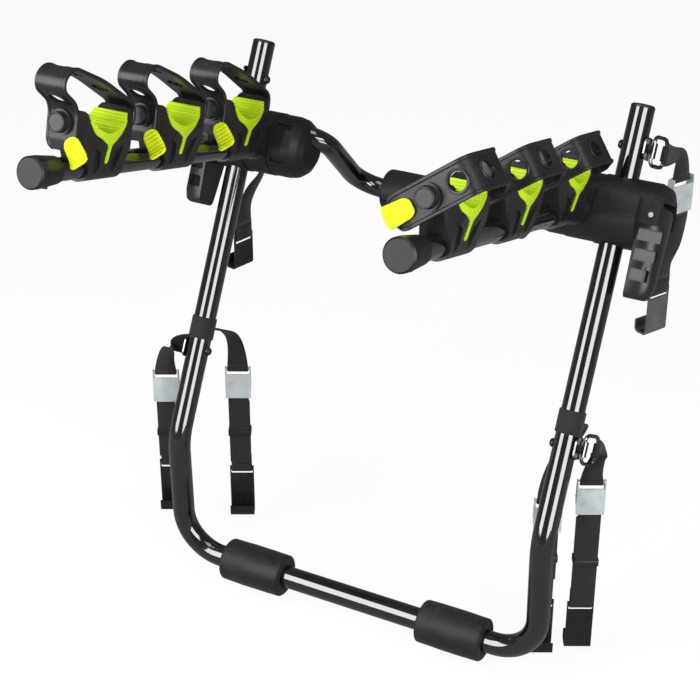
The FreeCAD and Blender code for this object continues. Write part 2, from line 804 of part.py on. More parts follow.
def make_bracket():
    x0 = frame_r + 0.05
    outline = [Vector(x0, -bracket_w / 2, -bracket_h / 2), Vector(x0, curl_y, -bracket_h / 2),
               Vector(x0, curl_y, bracket_h / 2), Vector(x0, -bracket_w / 2, bracket_h / 2)]
    plate = rounded_face(outline, [6, 1, 1, 6]).extrude(Vector(bracket_t, 0, 0))
    hole_r = ring_r + 0.2
    low = Vector(curl_x, curl_y, -curl_half)
    curl = rod(low, EZ, hole_r + curl_wall, 2 * curl_half)
    body = plate.fuse(curl).cut(rod(low - EZ * 9, EZ, hole_r, 2 * curl_half + 18))
    body = body.cut(box(0, x0, -40, 40, -40, 40))
    return one(body.cut(rod(Vector(0, 0, 0), EX, bolt_r + bolt_fit, 60)))


def make_bolt():
    far = frame_r + 0.05 + bracket_t
    start = Vector(-frame_r - bolt_head_h, 0, 0)
    head = rod(start, EX, bolt_head_r, bolt_head_h)
    dome = Part.makeSphere(bolt_head_r, start + EX * bolt_head_h).common(head)
    shank = rod(Vector(-frame_r - 1, 0, 0), EX, bolt_r, far + frame_r + 7)
    return one(dome.fuse(shank))


def make_nut():
    x = frame_r + 0.05 + bracket_t
    points = []
    for i in range(6):
        angle = math.radians(60 * i)
        points.append(Vector(x, 5.8 * math.cos(angle), 5.8 * math.sin(angle)))
    nut = polygon_face(points).extrude(Vector(5, 0, 0))
    return nut.cut(rod(Vector(0, 0, 0), EX, bolt_r, 60))


def ring_axes():
    # Upright coordinates of the ring: its hinge point and the way to its bow.
    turn = math.radians(ring_turn)
    return Vector(curl_x, curl_y, 0), Vector(math.cos(turn), math.sin(turn), 0)


def make_ring():
    hinge, out = ring_axes()
    high = EZ * ring_half_height
    points = [hinge - EZ * 0.2, hinge - high, hinge - high + out * ring_depth,
              hinge + high + out * ring_depth, hinge + high, hinge + EZ * 0.2]
    path = rounded_path(points, [6, 6, 6, 6])
    outline = []
    for i in range(ring_sides):
        turn = 2 * math.pi * i / ring_sides
        outline.append(points[0] + Vector(ring_r * math.cos(turn), ring_r * math.sin(turn), 0))
    return path.makePipeShell([Part.makePolygon(outline + [outline[0]])], True, False)


def bow_spot(side, up):
    # The middle of a ring's bow.
    hinge, out = ring_axes()
    spot = Rotation(EX, -upright_lean).multVec(hinge + out * ring_depth)
    spot = knee_mid + up_way * up + EX * half_span + spot
    return Vector(side * spot.x, spot.y, spot.z)


# Straps. Each hangs from its buckle; w is its width, t its thickness.
def strap_axes(angle):
    turn = math.radians(angle)
    return Vector(math.cos(turn), math.sin(turn), 0), Vector(-math.sin(turn), math.cos(turn), 0)


def hung(shape, centre, angle):
    placed = shape.copy()
    placed.Placement = Placement(centre, Rotation(EZ, angle))
    return Part.Shape(placed)


def make_buckle():
    # A sheet-metal channel with a bar on top; local x is w and y is t.
    inner = buckle_w / 2 - buckle_sheet
    plate_t = web_line - web_t / 2 - 0.2
    sheet = box(-buckle_w / 2, buckle_w / 2, plate_t - buckle_sheet, plate_t, -buckle_half, bar_z - 6)
    x0 = -buckle_w / 2
    cheek = [Vector(x0, plate_t - buckle_sheet, -cheek_low), Vector(x0, cheek_out, -cheek_low + 5),
             Vector(x0, cheek_out, 8), Vector(x0, bar_t + 3.2, bar_z + 3.4),
             Vector(x0, plate_t - buckle_sheet, bar_z + 3.4)]
    wall = rounded_face(cheek, [0.5, 3, 4, 2.5, 1]).extrude(Vector(buckle_sheet, 0, 0))
    other = wall.copy()
    other.translate(Vector(buckle_w - buckle_sheet, 0, 0))
    bar = rod(Vector(-inner - 0.5, bar_t, bar_z), EX, bar_r, 2 * inner + 1)
    pin = rod(Vector(x0 - 0.8, cam_t, cam_z), EX, cam_pin_r, buckle_w + 1.6)
    return one(sheet.fuse([wall, other, bar, pin]))


def make_cam_lever():
    inner = buckle_w / 2 - buckle_sheet - 0.35
    barrel = rod(Vector(-inner, cam_t, cam_z), EX, cam_r, 2 * inner)
    top = cheek_out - 0.5
    outline = [Vector(-inner, top, cam_z + 3), Vector(-inner, top + thumb_t, cam_z + 3),
               Vector(-inner, top + thumb_t + 2.5, cam_z - thumb_length),
               Vector(-inner, top + 2.5, cam_z - thumb_length)]
    plate = rounded_face(outline, [0.3, 0.8, 0.8, 0.8]).extrude(Vector(2 * inner, 0, 0))
    web = box(-inner, inner, cam_t, top + 1, cam_z - 2, cam_z + 3.2)
    bore = rod(Vector(-inner - 1, cam_t, cam_z), EX, cam_pin_r + running, 2 * inner + 2)
    return one(barrel.fuse([plate, web]).cut(bore))


def make_eye(centre, way, bar, length):
    start = centre - way * (length / 2)
    return rod(start, way, bar + web_gap + web_t, length).cut(rod(start, way, bar + web_gap, length))


def twisted(first, way, side_way, end, end_way, end_side):
    # Webbing that turns and twists from one place to another, as a loft.
    pull = (end - first).Length * 0.6
    sections = []
    steps = 6
    if side_way.dot(end_side) < 0:
        side_way = side_way * -1
    p1 = first + way * pull
    p2 = end - end_way * pull
    for i in range(steps + 1):
        u = i / steps
        v = 1 - u
        spot = first * v ** 3 + p1 * (3 * u * v ** 2) + p2 * (3 * u ** 2 * v) + end * u ** 3
        slope = (p1 - first) * v ** 2 + (p2 - p1) * (2 * u * v) + (end - p2) * u ** 2
        slope = slope.normalize()
        across = side_way * v + end_side * u
        gather = 1 - web_gather * math.sin(math.pi * u)
        across = (across - slope * across.dot(slope)).normalize() * (web_w / 2 * gather)
        up = slope.cross(across).normalize() * (web_t / 2)
        ring = [spot + across + up, spot - across + up, spot - across - up, spot + across - up]
        sections.append(Part.makePolygon(ring + [ring[0]]))
    return Part.makeLoft(sections, True, True)


def make_anchor(strap):
    # The short webbing between the ring, or the collar on the upright, and the buckle.
    w_way, t_way = strap_axes(strap["angle"])
    bar = strap["buckle"] + t_way * bar_t + EZ * bar_z
    low_eye = make_eye(bar, w_way, bar_r, web_w)
    end = bar + EZ * (bar_r + web_gap + web_t / 2)
    down = EZ * -1
    if strap["collar"]:
        axis = on_side(strap["side"], knee_mid + up_way * collar_up)
        start = axis - up_way * (web_w / 2)
        inner = frame_r + 0.15
        top = rod(start, up_way, inner + web_t, web_w).cut(rod(start, up_way, inner, web_w))
        back = EX.cross(up_way) * -1
        first = axis + back * (inner + web_t / 2)
        tail = twisted(first, back, EX, end, down, w_way)
        tail = tail.cut(rod(start - up_way * 5, up_way, inner, web_w + 10))
    else:
        spot = bow_spot(strap["side"], strap["up"])
        top = make_eye(spot, up_way, ring_r, ring_half_height * 2 - 16)
        way = end - spot
        way = (way - up_way * way.dot(up_way)).normalize()
        first = spot + way * (ring_r + web_gap + web_t / 2)
        tail = twisted(first, way, up_way, end, down, w_way)
        start = spot - up_way * 30
        tail = tail.cut(rod(start, up_way, ring_r + web_gap, 60))
    tail = tail.cut(rod(bar - w_way * 20, w_way, bar_r + web_gap, 40))
    return one(tail.fuse([top, low_eye]))


hook_turn = hook_t / 2 + web_gap + web_t / 2
slot_drop = web_gap + web_t / 2 + slot_slack


def hank_route(strap):
    # From the buckle down through the folded hank and on round the hook's top bar.
    z_high, z_low = strap["hank"]
    points = [(web_line, 14.0)]
    for i in range(fold_count):
        t = web_line + fold_pitch * i
        wave = 3.0 * math.sin(2.1 * i)
        if i > 0:
            points.append((t, points[-1][1]))
        if i == fold_count - 1:
            points.append((t, strap["end"]))
        elif i % 2 == 0:
            points.append((t, z_low + wave))
        else:
            points.append((t, z_high - abs(wave)))
    t = points[-1][0]
    points.append((t + 2 * hook_turn, strap["end"]))
    points.append((t + 2 * hook_turn, strap["end"] + 26))
    radii = [fold_pitch / 2] * (len(points) - 4) + [hook_turn, hook_turn]
    return points, radii


def least_gap(points):
    # The smallest clear gap between neighbouring runs of the hank.
    runs = sorted({p[0] for p in points})
    return min(b - a for a, b in zip(runs, runs[1:])) - web_t


def make_main_web(strap):
    w_way, t_way = strap_axes(strap["angle"])
    centre = strap["buckle"]
    if "hank" in strap:
        points, radii = hank_route(strap)
        print("least gap in the hank", round(least_gap(points[:-2]), 2), "mm")
        route = [centre + t_way * p[0] + EZ * p[1] for p in points]
        return ribbon(route, radii, w_way, web_w, web_t)
    top = centre + t_way * web_line + EZ * 14
    low = centre + t_way * web_line - EZ * 24
    head = ribbon([top, low - EZ * 0.01], [], w_way, web_w, web_t)
    hook_w_way, hook_t_way = strap_axes(strap["hook_angle"])
    z = -hook_bar - slot_drop
    loop = [(-hook_turn, 14), (-hook_turn, z), (hook_turn, z), (hook_turn, 20)]
    route = [strap["hook"] + hook_t_way * p[0] + EZ * p[1] for p in loop]
    foot = ribbon(route, [hook_turn, hook_turn], hook_w_way, web_w, web_t)
    drop = twisted(low, EZ * -1, w_way, route[0], EZ * -1, hook_w_way)
    return one(head.fuse([drop, foot]))


def make_hook(strap):
    # A bent plate with a slot; local x is w, y is t, z from its top edge down.
    deep = -strap["hook_drop"]
    out = strap["lip"] * hook_throat
    points = [Vector(0, 0, 0), Vector(0, 0, deep), Vector(0, out, deep), Vector(0, out, deep + hook_lip)]
    body = ribbon(points, [5, 5], EX, hook_w, hook_t)
    half = web_w / 2 + 0.8
    high = -hook_bar
    low = high - hook_slot
    slot = [Vector(-half, -9, high), Vector(half, -9, high), Vector(half, -9, low), Vector(-half, -9, low)]
    return one(body.cut(rounded_face(slot, [1.5] * 4).extrude(Vector(0, 18, 0))))


def place_hook(strap):
    if "hank" in strap:
        w_way, t_way = strap_axes(strap["angle"])
        t = web_line + fold_pitch * (fold_count - 1) + hook_turn
        z = strap["end"] + hook_bar + slot_drop
        return hung(make_hook(strap), strap["buckle"] + t_way * t + EZ * z, strap["angle"])
    return hung(make_hook(strap), strap["hook"], strap["hook_angle"])


def make_band(strap):
    z = sum(strap["hank"]) / 2
    low_t = web_line - web_t / 2 - web_gap
    high_t = web_line + fold_pitch * (fold_count - 1) + web_t / 2 + web_gap
    half = web_w / 2 + web_gap
    shells = []
    for grow in (band_t, 0):
        outline = [Vector(-half - grow, low_t - grow, z - 4), Vector(half + grow, low_t - grow, z - 4),
                   Vector(half + grow, high_t + grow, z - 4), Vector(-half - grow, high_t + grow, z - 4)]
        shells.append(rounded_face(outline, [0.3 + grow] * 4).extrude(EZ * 8))
    return hung(shells[0].cut(shells[1]), strap["buckle"], strap["angle"])


def beside(side, out, y, z):
    # A strap's spot, measured outward from the upright.
    return Vector(side * (half_span + out), y, z)


straps = {
    "upper_right": {"side": 1, "up": upper_bolt_up, "buckle": beside(1, 33, 296, 505), "angle": 64,
                    "hook": beside(1, 35, 246, 403), "hook_angle": 64, "hook_drop": 60, "lip": 1, "collar": False},
    "upper_left": {"side": -1, "up": upper_bolt_up, "buckle": beside(-1, 31, 272, 498), "angle": 110,
                   "hook": beside(-1, 28, 212, 368), "hook_angle": 76, "hook_drop": 48, "lip": 1, "collar": False},
    "left_outer": {"side": -1, "up": lower_bolt_up, "buckle": beside(-1, 50, 46, 208), "angle": 28,
                   "hank": (-32, -105), "end": -128, "hook_drop": 70, "lip": -1, "collar": False},
    "left_inner": {"side": -1, "up": lower_bolt_up, "buckle": beside(-1, -11, 126, 190), "angle": 28,
                   "hank": (-30, -122), "end": -146, "hook_drop": 70, "lip": -1, "collar": True},
    "right_outer": {"side": 1, "up": lower_bolt_up, "buckle": beside(1, 29, 70, 200), "angle": 28,
                    "hank": (-30, -152), "end": -168, "hook_drop": 70, "lip": 1, "collar": False},
    "right_inner": {"side": 1, "up": lower_bolt_up, "buckle": beside(1, -22, 66, 160), "angle": 28,
                    "hank": (-30, -90), "end": -140, "hook_drop": 70, "lip": -1, "collar": True},
}

sides = {"left": -1, "right": 1}
os.makedirs("parts", exist_ok=True)

# The fixed pieces.
save("main_frame", [make_main_frame()])
save("top_plugs", [make_top_plug(1), make_top_plug(-1)])
save("lower_pads", [make_lower_pad(1), make_lower_pad(-1)])
bolt_places = [(side, up) for side in (1, -1) for up in (upper_bolt_up, lower_bolt_up)]
save("strap_brackets", [on_upright(make_bracket(), side, up) for side, up in bolt_places])
save("strap_rings", [on_upright(make_ring(), side, up) for side, up in bolt_places])
save("bracket_bolts", [on_upright(make_bolt(), side, up) for side, up in bolt_places])
save("bracket_nuts", [on_upright(make_nut(), side, up) for side, up in bolt_places])
save("lever_pins", [to_hub(make_lever_pin(), side) for side in (1, -1)])
save("draw_bolts", [to_hub(make_draw_bolt(), side) for side in (1, -1)])
save("fixed_index_discs", [to_hub(make_disc(housing_x, -1), side) for side in (1, -1)])
save("buckle_bodies", [hung(make_buckle(), s["buckle"], s["angle"]) for s in straps.values()])
save("steel_hooks", [place_hook(straps["upper_right"])])
save("plate_hooks", [place_hook(s) for name, s in straps.items() if name != "upper_right"])
save("hank_bands", [make_band(s) for s in straps.values() if "hank" in s])
for name, strap in straps.items():
    save("webbing_" + name, [make_anchor(strap), make_main_web(strap)])
    save("cam_lever_" + name, [hung(make_cam_lever(), strap["buckle"], strap["angle"])])

# The upper frame, which turns on both hubs.
save("upper_tube", [make_upper_tube()])
save("upper_pad", [make_upper_pad()])
save("hub_end_caps", [make_placed_cap(side) for side in (1, -1)])
save("upper_index_discs", [to_hub(make_disc(socket_x, 1), side) for side in (1, -1)])

# Each side's hub, lever and arm.
for name, side in sides.items():
    save("hub_housing_" + name, [to_hub(make_housing(), side)])
    save("release_lever_" + name, [to_hub(make_lever(), side)])
    save("arm_socket_" + name, [make_socket(side)])
    arm_discs = [make_disc(socket_x, -1), make_disc(housing_x, 1)]
    save("arm_index_discs_" + name, [to_hub(disc, side) for disc in arm_discs])
    save("arm_tube_" + name, [on_arm(make_arm_tube(), side, 0)])
    save("arm_cap_" + name, [on_arm(make_arm_cap(), side, 0)])
    body = make_cradle_body()
    insert = make_cradle_insert()
    strap_parts = [make_cradle_strap(name), make_strap_tab(name)]
    for i in range(cradle_count):
        place = cradle_first + cradle_pitch * i
        tag = "_%s_%d" % (name, cradle_count - i)
        save("cradle_body" + tag, [on_arm(body, side, place)])
        save("cradle_lining" + tag, [on_arm(insert, side, place)])
        save("cradle_strap" + tag, [on_arm(piece, side, place) for piece in strap_parts])
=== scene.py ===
import bpy
import bmesh
import json
import math
from mathutils import Matrix, Vector, noise

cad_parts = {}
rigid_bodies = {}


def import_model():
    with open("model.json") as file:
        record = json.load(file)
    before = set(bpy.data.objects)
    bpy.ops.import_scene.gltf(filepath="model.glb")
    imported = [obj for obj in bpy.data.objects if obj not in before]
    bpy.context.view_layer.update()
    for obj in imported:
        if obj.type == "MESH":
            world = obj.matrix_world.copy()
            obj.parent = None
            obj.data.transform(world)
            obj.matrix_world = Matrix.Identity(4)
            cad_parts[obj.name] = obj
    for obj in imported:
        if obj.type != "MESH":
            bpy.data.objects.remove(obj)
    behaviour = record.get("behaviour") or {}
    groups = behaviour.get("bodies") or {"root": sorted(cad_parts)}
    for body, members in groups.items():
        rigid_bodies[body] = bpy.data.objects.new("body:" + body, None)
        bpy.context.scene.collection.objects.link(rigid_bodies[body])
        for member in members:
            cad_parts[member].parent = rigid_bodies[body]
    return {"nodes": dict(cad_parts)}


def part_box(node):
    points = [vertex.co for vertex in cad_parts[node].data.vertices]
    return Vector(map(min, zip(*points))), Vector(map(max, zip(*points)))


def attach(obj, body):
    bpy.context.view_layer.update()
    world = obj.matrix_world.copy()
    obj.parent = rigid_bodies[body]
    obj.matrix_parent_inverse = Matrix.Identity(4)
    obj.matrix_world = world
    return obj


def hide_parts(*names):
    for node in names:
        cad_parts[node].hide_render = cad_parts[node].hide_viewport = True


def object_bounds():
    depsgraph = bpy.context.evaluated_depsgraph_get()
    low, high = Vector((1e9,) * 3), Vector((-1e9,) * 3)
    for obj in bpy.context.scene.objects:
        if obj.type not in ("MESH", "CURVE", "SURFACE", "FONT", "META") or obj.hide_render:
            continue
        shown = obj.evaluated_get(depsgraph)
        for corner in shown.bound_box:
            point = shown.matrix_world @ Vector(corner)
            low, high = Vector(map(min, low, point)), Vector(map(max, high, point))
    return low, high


for thing in list(bpy.data.objects):  # the startup file's own cube, light and camera
    bpy.data.objects.remove(thing)
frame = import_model()
nodes = frame["nodes"]
cadBox = [list(corner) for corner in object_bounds()]
print("frame loaded,", len(nodes), "nodes")


# helpers for materials

def addNode(tree, kind, links=None, **settings):
    node = tree.nodes.new(kind)
    for key, value in settings.items():
        setattr(node, key, value)
    for socket, source in (links or {}).items():
        if isinstance(source, bpy.types.NodeSocket):
            tree.links.new(source, node.inputs[socket])
        else:
            node.inputs[socket].default_value = source
    return node


floatSocket, vectorSocket = "NodeSocketFloat", "NodeSocketVector"


def startGroup(name, inputs, outputs):
    tree = bpy.data.node_groups.new(name, "ShaderNodeTree")
    for label, kind in inputs:
        tree.interface.new_socket(label, in_out="INPUT", socket_type=kind)
    for label, kind in outputs:
        tree.interface.new_socket(label, in_out="OUTPUT", socket_type=kind)
    return tree, tree.nodes.new("NodeGroupInput").outputs, tree.nodes.new("NodeGroupOutput").inputs


def mathNode(tree, operation, a, b=0.0, c=0.0):
    return addNode(tree, "ShaderNodeMath", {0: a, 1: b, 2: c}, operation=operation).outputs[0]


def mouldedGrain():
    # fine moulded grain, slow patches of sheen, and dust that settles on what faces up
    tree, given, out = startGroup(
        "mouldedGrain",
        [("Place", vectorSocket), ("Grain Scale", floatSocket), ("Patch Scale", floatSocket)],
        [("Grain", floatSocket), ("Patch", floatSocket), ("Dust", floatSocket)])
    place = given["Place"]
    fine = addNode(tree, "ShaderNodeTexNoise",
                   {"Vector": place, "Scale": given["Grain Scale"], "Detail": 3.0})
    patch = addNode(tree, "ShaderNodeTexNoise",
                    {"Vector": place, "Scale": given["Patch Scale"], "Detail": 4.0, "Roughness": 0.6})
    spread = addNode(tree, "ShaderNodeMapRange",
                     {"Value": patch.outputs["Fac"], "From Min": 0.32, "From Max": 0.68})
    facing = addNode(tree, "ShaderNodeNewGeometry")
    up = addNode(tree, "ShaderNodeSeparateXYZ", {0: facing.outputs["Normal"]}).outputs["Z"]
    lift = addNode(tree, "ShaderNodeMapRange", {"Value": up, "From Min": -0.1, "From Max": 1.0})
    specks = addNode(tree, "ShaderNodeTexNoise", {"Vector": place, "Scale": 420.0, "Detail": 5.0})
    thin = addNode(tree, "ShaderNodeMapRange",
                   {"Value": specks.outputs["Fac"], "From Min": 0.45, "From Max": 0.8})
    dust = mathNode(tree, "MULTIPLY", lift.outputs[0], spread.outputs[0])
    dust = mathNode(tree, "MULTIPLY", dust, thin.outputs[0])
    tree.links.new(fine.outputs["Fac"], out["Grain"])
    tree.links.new(spread.outputs[0], out["Patch"])
    tree.links.new(dust, out["Dust"])
    return tree


def wovenWebbing():
    # chevron ribs of polypropylene webbing, with painted shade in the grooves between them; the piece's own
    # map is in metres, along and across
    tree, given, out = startGroup(
        "wovenWebbing", [("Map", vectorSocket)], [("Height", floatSocket), ("Shade", floatSocket)])
    ribPitch, columnPitch = 0.0016, 0.0018
    parts = addNode(tree, "ShaderNodeSeparateXYZ", {0: given["Map"]})
    chevron = mathNode(tree, "PINGPONG", parts.outputs["Y"], columnPitch)
    along = mathNode(tree, "ADD", parts.outputs["X"], chevron)
    rib = mathNode(tree, "SINE", mathNode(tree, "MULTIPLY", along, 2 * math.pi / ribPitch))
    column = mathNode(tree, "MULTIPLY", parts.outputs["Y"], 2 * math.pi / columnPitch)
    column = mathNode(tree, "SINE", column)
    both = mathNode(tree, "MULTIPLY_ADD", column, 0.35, rib)
    height = mathNode(tree, "MULTIPLY_ADD", both, 0.37, 0.5)
    fuzz = addNode(tree, "ShaderNodeTexNoise", {"Vector": given["Map"], "Scale": 900.0, "Detail": 3.0})
    # Shade is low in the weave's grooves (painted shade there), varied by random fibre tone
    shade = mathNode(tree, "MULTIPLY", mathNode(tree, "ADD", height, 0.35), fuzz.outputs["Fac"])
    tree.links.new(height, out["Height"])
    tree.links.new(shade, out["Shade"])
    return tree


def ribLines():
    # shallow parallel ribs across a moulding, along a given direction
    tree, given, out = startGroup(
        "ribLines", [("Place", vectorSocket), ("Way", vectorSocket), ("Pitch", floatSocket)],
        [("Height", floatSocket)])
    along = addNode(tree, "ShaderNodeVectorMath", {0: given["Place"], 1: given["Way"]},
                    operation="DOT_PRODUCT")
    turn = mathNode(tree, "DIVIDE", along.outputs["Value"], given["Pitch"])
    wave = mathNode(tree, "SINE", mathNode(tree, "MULTIPLY", turn, 2 * math.pi))
    tree.links.new(mathNode(tree, "MULTIPLY_ADD", wave, 0.5, 0.5), out["Height"])
    return tree


grainGroup = mouldedGrain()
weaveGroup = wovenWebbing()
ribGroup = ribLines()


def useGroup(tree, group, links):
    return addNode(tree, "ShaderNodeGroup", links, node_tree=group)


def bumpNode(tree, height, depth, under=None):
    links = {"Height": height, "Distance": depth, "Strength": 1.0}
    if under is not None:
        links["Normal"] = under
    return addNode(tree, "ShaderNodeBump", links).outputs["Normal"]


def mixColour(tree, factor, a, b):
    node = tree.nodes.new("ShaderNodeMix")
    node.data_type = "RGBA"
    for socket, source in ((node.inputs[0], factor), (node.inputs[6], a), (node.inputs[7], b)):
        if isinstance(source, bpy.types.NodeSocket):
            tree.links.new(source, socket)
        elif isinstance(source, float):
            socket.default_value = source
        else:
            socket.default_value = (*source, 1.0)
    return node.outputs[2]


dustColour = (0.45, 0.44, 0.42)


def makeMaterial(name, look):
    material = bpy.data.materials.new(name)
    material.use_nodes = True
    tree = material.node_tree
    shader = tree.nodes["Principled BSDF"]
    shader.inputs["Metallic"].default_value = look.get("metallic", 0.0)
    shader.inputs["Specular IOR Level"].default_value = look.get("specular", 0.5)
    shader.inputs["Coat Weight"].default_value = look.get("coat", 0.0)
    shader.inputs["Coat Roughness"].default_value = look.get("coatRoughness", 0.1)
    shader.inputs["Sheen Weight"].default_value = look.get("sheen", 0.0)
    place = addNode(tree, "ShaderNodeTexCoord").outputs["Object"]
    grain = useGroup(tree, grainGroup, {"Place": place, "Grain Scale": look["grainScale"],
                                        "Patch Scale": look.get("patchScale", 14.0)})
    colour = mixColour(tree, grain.outputs["Patch"], look["colour"], look["colourFar"])
    normal = bumpNode(tree, grain.outputs["Grain"], look["grainDepth"])
    if "weave" in look:
        ownMap = addNode(tree, "ShaderNodeUVMap", uv_map="strapMap").outputs["UV"]
        weave = useGroup(tree, weaveGroup, {"Map": ownMap})
        # painted shade: the weave's grooves take the darker weave colour
        colour = mixColour(tree, weave.outputs["Shade"], look["weaveLow"], colour)
        normal = bumpNode(tree, weave.outputs["Height"], look["weave"], normal)
    if "ribs" in look:
        way, pitch, ribDepth = look["ribs"]
        rib = useGroup(tree, ribGroup, {"Place": place, "Way": way, "Pitch": pitch})
        # painted shade: the valleys between ribs take the darker rib colour
        colour = mixColour(tree, rib.outputs["Height"], look["ribLow"], colour)
        normal = bumpNode(tree, rib.outputs["Height"], ribDepth, normal)
    dust = mathNode(tree, "MULTIPLY", grain.outputs["Dust"], look["dust"])
    colour = mixColour(tree, dust, colour, dustColour)
    low, high = look["roughness"]
    rough = addNode(tree, "ShaderNodeMapRange",
                    {"Value": grain.outputs["Patch"], "To Min": low, "To Max": high})
    rough = mathNode(tree, "MULTIPLY_ADD", dust, 0.5, rough.outputs[0])
    tree.links.new(colour, shader.inputs["Base Color"])
    tree.links.new(rough, shader.inputs["Roughness"])
    tree.links.new(normal, shader.inputs["Normal"])
    return material


alongArm = (0.0, -0.9655, 0.2605)  # the linings' ribs run across the arms
blackTube = makeMaterial("blackTube", {
    "colour": (0.002, 0.002, 0.0022), "colourFar": (0.0035, 0.0035, 0.004), "roughness": (0.10, 0.14),
    "specular": 0.90, "coat": 1.0, "coatRoughness": 0.05, "grainScale": 900.0, "grainDepth": 0.00001,
    "dust": 0.03})
hubPlastic = makeMaterial("hubPlastic", {
    "colour": (0.007, 0.007, 0.0074), "colourFar": (0.012, 0.012, 0.0124), "roughness": (0.34, 0.46),
    "specular": 0.30, "grainScale": 1500.0, "grainDepth": 0.00007, "dust": 0.06})
cradlePlastic = makeMaterial("cradlePlastic", {
    "colour": (0.009, 0.009, 0.0094), "colourFar": (0.015, 0.015, 0.0154), "roughness": (0.24, 0.36),
    "specular": 0.36, "grainScale": 1700.0, "grainDepth": 0.00004, "dust": 0.06})
strapRubber = makeMaterial("strapRubber", {
    "colour": (0.009, 0.009, 0.009), "colourFar": (0.016, 0.016, 0.016), "roughness": (0.27, 0.40),
    "specular": 0.36, "grainScale": 1300.0, "grainDepth": 0.00004, "dust": 0.08})
padFoam = makeMaterial("padFoam", {
    "colour": (0.006, 0.006, 0.006), "colourFar": (0.009, 0.009, 0.009), "roughness": (0.44, 0.56),
    "specular": 0.30, "sheen": 0.04, "grainScale": 1900.0, "grainDepth": 0.00014, "dust": 0.06})
# the lining's darker rib colour is painted shade in the valleys between its ribs
limeLining = makeMaterial("limeLining", {
    "colour": (0.40, 0.58, 0.003), "colourFar": (0.45, 0.62, 0.004), "roughness": (0.42, 0.55),
    "specular": 0.3, "grainScale": 1400.0, "grainDepth": 0.00004, "dust": 0.03,
    "ribs": (alongArm, 0.0019, 0.00016), "ribLow": (0.29, 0.47, 0.0015)})
limeTab = makeMaterial("limeTab", {
    "colour": (0.56, 0.66, 0.0015), "colourFar": (0.60, 0.69, 0.003), "roughness": (0.45, 0.58),
    "specular": 0.3, "grainScale": 1400.0, "grainDepth": 0.00003, "dust": 0.02})
# the webbing's darker weave colour is painted shade in the grooves of its weave
webbing = makeMaterial("webbing", {
    "colour": (0.012, 0.012, 0.013), "colourFar": (0.019, 0.019, 0.020), "roughness": (0.62, 0.78),
    "specular": 0.3, "sheen": 0.10, "grainScale": 2200.0, "grainDepth": 0.00006, "dust": 0.06,
    "weave": 0.00030, "weaveLow": (0.003, 0.003, 0.003)})
zincPlate = makeMaterial("zincPlate", {
    "colour": (0.56, 0.62, 0.64), "colourFar": (0.70, 0.76, 0.77), "roughness": (0.26, 0.42),
    "metallic": 0.6, "grainScale": 700.0, "grainDepth": 0.00002, "patchScale": 60.0, "dust": 0.04})
hookSteel = makeMaterial("hookSteel", {
    "colour": (0.34, 0.35, 0.36), "colourFar": (0.44, 0.45, 0.46), "roughness": (0.26, 0.40),
    "metallic": 1.0, "grainScale": 700.0, "grainDepth": 0.00002, "patchScale": 40.0, "dust": 0.04})
ringSteel = makeMaterial("ringSteel", {
    "colour": (0.16, 0.165, 0.17), "colourFar": (0.24, 0.245, 0.25), "roughness": (0.16, 0.28),
    "metallic": 1.0, "grainScale": 700.0, "grainDepth": 0.00002, "patchScale": 60.0, "dust": 0.04})
blackHook = makeMaterial("blackHook", {
    "colour": (0.006, 0.006, 0.0065), "colourFar": (0.012, 0.012, 0.0125), "roughness": (0.18, 0.30),
    "specular": 0.45, "grainScale": 1100.0, "grainDepth": 0.00004, "dust": 0.06})
print("materials made")


def dressNode(name, material):
    mesh = nodes[name].data
    mesh.materials.clear()
    mesh.materials.append(material)


dressing = [(("main_frame", "upper_tube", "arm_tube"), blackTube),
            (("cradle_body", "release_lever"), cradlePlastic),
            (("hub_", "arm_", "top_plugs", "fixed_index", "upper_index"), hubPlastic),
            (("lever_pins", "draw_bolts", "buckle_", "cam_lever"), zincPlate),
            (("steel_hooks",), hookSteel),
            (("strap_brackets", "strap_rings"), ringSteel),
            (("plate_hooks", "bracket_bolts", "bracket_nuts"), blackHook)]
for name in nodes:
    for starts, material in dressing:
        if name.startswith(starts):
            dressNode(name, material)
            break


# helpers for shapes

def finishPiece(name, bm, material, body, replaced=()):
    mesh = bpy.data.meshes.new(name)
    bm.to_mesh(mesh)
    bm.free()
    mesh.materials.append(material)
    for face in mesh.polygons:
        face.use_smooth = True
    piece = bpy.data.objects.new(name, mesh)
    bpy.context.scene.collection.objects.link(piece)
    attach(piece, body)
    if replaced:
        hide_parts(*replaced)
    return piece


def cutAway(bm, cutters):
    # returns the first shape with the second cut out of it
    pair = []
    for shape, name in ((bm, "blank"), (cutters, "cutters")):
        mesh = bpy.data.meshes.new(name)
        shape.to_mesh(mesh)
        shape.free()
        pair.append(bpy.data.objects.new(name, mesh))
        bpy.context.scene.collection.objects.link(pair[-1])
    cut = pair[0].modifiers.new("holes", "BOOLEAN")
    cut.object = pair[1]
    cut.solver = "EXACT"
    bpy.context.view_layer.update()
    evaluated = pair[0].evaluated_get(bpy.context.evaluated_depsgraph_get())
    finished = bpy.data.meshes.new_from_object(evaluated)
    for piece in pair:
        bpy.data.objects.remove(piece)
    result = bmesh.new()
    result.from_mesh(finished)
    bpy.data.meshes.remove(finished)
    return result


def addInto(target, source):
    # puts the second shape's mesh into the first
    mesh = bpy.data.meshes.new("part")
    source.to_mesh(mesh)
    source.free()
    target.from_mesh(mesh)
    bpy.data.meshes.remove(mesh)


